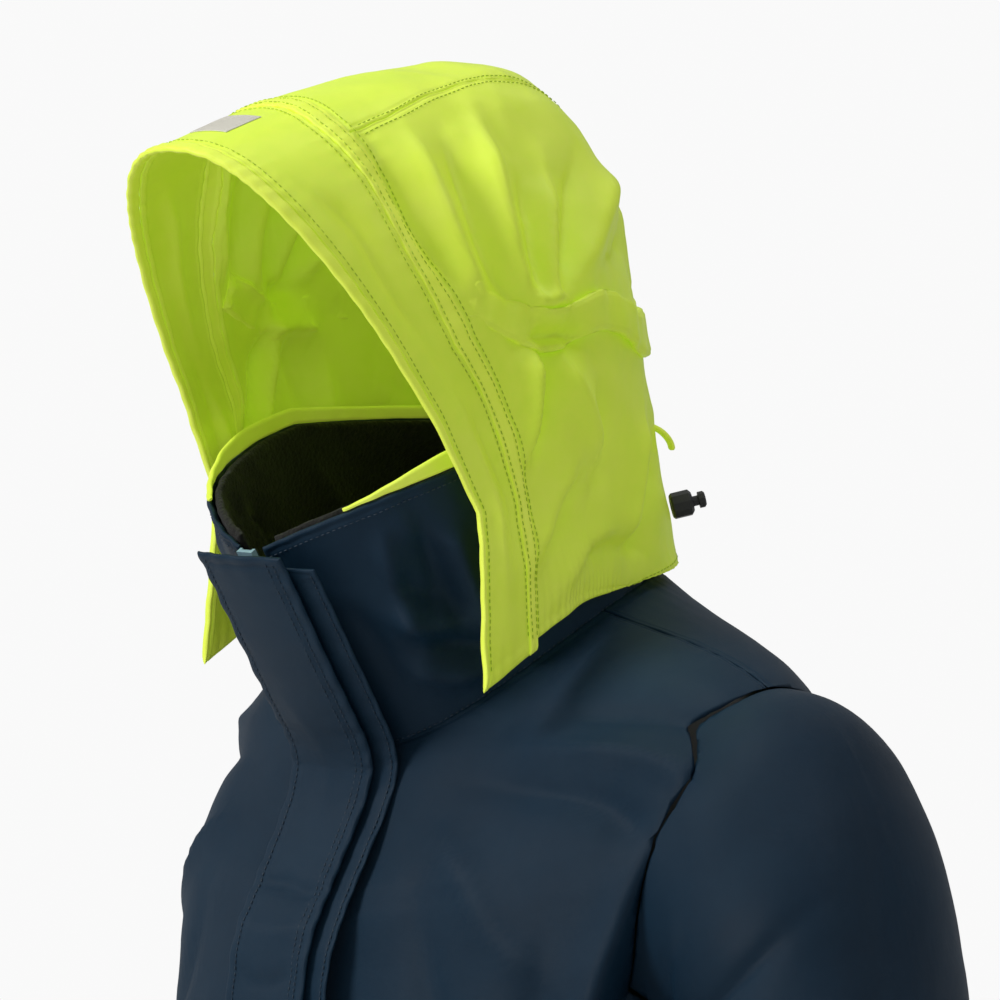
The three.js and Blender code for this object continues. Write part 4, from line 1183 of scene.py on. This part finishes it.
def makeFlaps():
    half, off = flapLook["halfWidth"], flapLook["offset"]
    whole = frontSurface(half, 0.0, 0.985, off)
    field = foldsOn(whole, flapFolds)
    waves = makeWaves(8, 40, 120, 41)
    droop = lambda p: field(p) + creased(p, waves, 1.0)
    face = frontFace(whole)
    obj = cloth("stormFlap", whole, navyCloth, 2.8, 12.2, droop, 3.0, face, grooves=[(5.5, 0.6)],
            pucker=0.5)
    finishPiece(obj, ["storm_flap_collar", "storm_flap_chest"], "navy_shell", None, "hung",
            ["innerPlacket"])
    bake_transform(obj)
    rows = []
    for inset in (5.5, 9.0):
        share = 1 - inset / (2 * half)
        rows.append(frontRow(whole, lambda t: (share + 0 * t, t), 12.2 + 1.5, droop))
    share = 5.5 / (2 * half)
    rows.append(frontRow(whole, lambda t: (share + 0 * t, t), 12.2 + 1.5, droop))
    obj = stitches("flapStitching", rows, navyThread, 3.2, 2.3, 0.28)
    finishPiece(obj, [], "navy_shell", None)
    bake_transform(obj)
    wide, middle, lift = flapLook["placket"]
    placket = frontSurface(wide, 0.012, 0.98, middle)
    calm = lambda p: creased(p, waves, 0.6)
    obj = cloth("innerPlacket", placket, navyCloth, 1.6, -lift, calm, 3.5, frontFace(placket),
            grooves=[(3, 0.4)], pucker=0.4)
    finishPiece(obj, ["inner_placket"], "navy_shell", "root", "hung", ["frontPanelLeft"])
    obj = stitches("placketStitching",
            [frontRow(placket, lambda t: (0.945 + 0 * t, t), -lift + 0.9,
                    calm)], navyThread, 3.2, 2.3, 0.28)
    finishPiece(obj, [], "navy_shell", "root")
    for i in (1, 2, 3):
        for kind in ("loop", "hook"):
            repaint(f"flap_{kind}_{i}", hookLoop)


def frontFace(surface):
    n = normalsOf(surface, np.array([0.5]), np.array([0.7]))[0]
    return 1 if n[1] < 0 else -1


def frontRow(surface, path, lift, folds, count=260):
    u, v = path(np.linspace(0.004, 0.996, count))
    u, v = np.broadcast_arrays(np.asarray(u, float), np.asarray(v, float))
    base, out = surface(u, v), normalsOf(surface, u, v) * frontFace(surface)
    return base + out * (lift + folds(base))[:, None], out


# Pockets.
pocketLook = {"width": 92, "height": 180, "depth": 16, "middleX": 90, "topZ": -405, "flapWide": 100,
        "flapHigh": 64, "hem": 22}


def makePockets():
    k = pocketLook
    for side, word in ((1, "Left"), (-1, "Right")):
        low = word.lower()
        place = frontPatch(side)
        x0, x1 = k["middleX"] - k["width"] / 2, k["middleX"] + k["width"] / 2
        front = lambda u, v: place(mix(x0, x1, u), mix(k["topZ"], k["topZ"] - k["height"], v))
        face = bodyFace(front)
        pouch = pouchMesh("pocket" + word, front, face, k["depth"])
        finishPiece(pouch, ["pocket_" + low], "navy_shell", "root", None)
        f0, f1 = k["middleX"] - k["flapWide"] / 2, k["middleX"] + k["flapWide"] / 2
        sewn = k["topZ"] + k["hem"]
        flap = lambda u, v: place(mix(f0, f1, u), mix(sewn, sewn - k["flapHigh"], v))
        def step(p):
            drop = np.clip((sewn - p[..., 2]) / (k["flapHigh"] / 4), 0, 1)
            return mix(3.2, 20.5, smooth(drop))
        obj = cloth("pocketFlap" + word, flap, navyCloth, 2.6, 0, step, 3.0, bodyFace(flap),
                grooves=[(3.2, 0.5)], pucker=0.5)
        finishPiece(obj, ["pocket_flap_" + low], "navy_shell", "pocket_flap_" + low, "hung",
                ["pocket" + word])
        rows = [faceRow(flap, lambda t: (0.04 + 0.92 * t, 0.93 + 0 * t), 1.6, step),
                faceRow(flap, lambda t: (0.035 + 0 * t, 0.03 + 0.9 * t), 1.6, step),
                faceRow(flap, lambda t: (0.965 + 0 * t, 0.03 + 0.9 * t), 1.6, step)]
        obj = stitches("pocketFlapStitching" + word, rows, navyThread, 3.2, 2.3, 0.28)
        finishPiece(obj, [], "navy_shell", "pocket_flap_" + low)


def faceRow(surface, path, lift, folds, count=60):
    u, v = path(np.linspace(0, 1, count))
    u, v = np.broadcast_arrays(np.asarray(u, float), np.asarray(v, float))
    base, out = surface(u, v), normalsOf(surface, u, v) * bodyFace(surface)
    return base + out * (lift + folds(base))[:, None], out


def pouchMesh(name, surface, face, depth):
    n, m, wall = 44, 60, 1.8  # a bag with a back, a front and a rolled mouth, open at the top
    u, v = np.meshgrid(np.linspace(0, 1, n), np.linspace(0, 1, m), indexing="ij")
    base, out = surface(u, v), normalsOf(surface, u, v) * face
    edge = np.minimum(np.minimum(u, 1 - u) * 92, (1 - v) * 180)
    belly = np.sqrt(np.clip(1 - (1 - np.clip(edge / 9, 0, 1)) ** 2, 0, 1))
    lift = 2.2 + belly * (depth - 1.0) + 1.0 * np.sin(u * 9 + v * 5) * belly - 0.6 * np.exp(-((edge - 14) / 1.2) ** 2)
    layers = [base + out * lift[..., None], base + out * np.maximum(lift - wall, 2.0)[..., None]]
    grid = np.arange(n * m).reshape(n, m)
    faces = []
    for i in range(n - 1):
        for j in range(m - 1):
            q = [grid[i, j], grid[i + 1, j], grid[i + 1, j + 1], grid[i, j + 1]]
            faces.append(tuple(int(x) for x in q))
            faces.append(tuple(int(x) + n * m for x in reversed(q)))
    for i in range(n - 1):
        faces.append((int(grid[i + 1, 0]), int(grid[i, 0]), int(grid[i, 0]) + n * m,
                int(grid[i + 1, 0]) + n * m))
        faces.append((int(grid[i, -1]), int(grid[i + 1, -1]), int(grid[i + 1, -1]) + n * m,
                int(grid[i, -1]) + n * m))
    for j in range(m - 1):
        faces.append((int(grid[0, j]), int(grid[0, j + 1]), int(grid[0, j + 1]) + n * m,
                int(grid[0, j]) + n * m))
        faces.append((int(grid[-1, j + 1]), int(grid[-1, j]), int(grid[-1, j]) + n * m,
                int(grid[-1, j + 1]) + n * m))
    verts = np.vstack([layers[0].reshape(-1, 3), layers[1].reshape(-1, 3)])
    uvs = np.tile(np.column_stack([(u * 92).ravel(), (v * 180).ravel()]), (2, 1))
    return fixNormals(newObject(name, verts, faces, navyCloth, uvs, np.tile(np.exp(-edge / 5).ravel(), 2)))


makeCollar()
makeZip()
makeFlaps()
makePockets()
for word in ("left", "right"):
    repaint("hood_lock_" + word, blackPlastic)
    repaint("hood_lock_button_" + word, blackPlastic)
print("collar, front and pockets made")
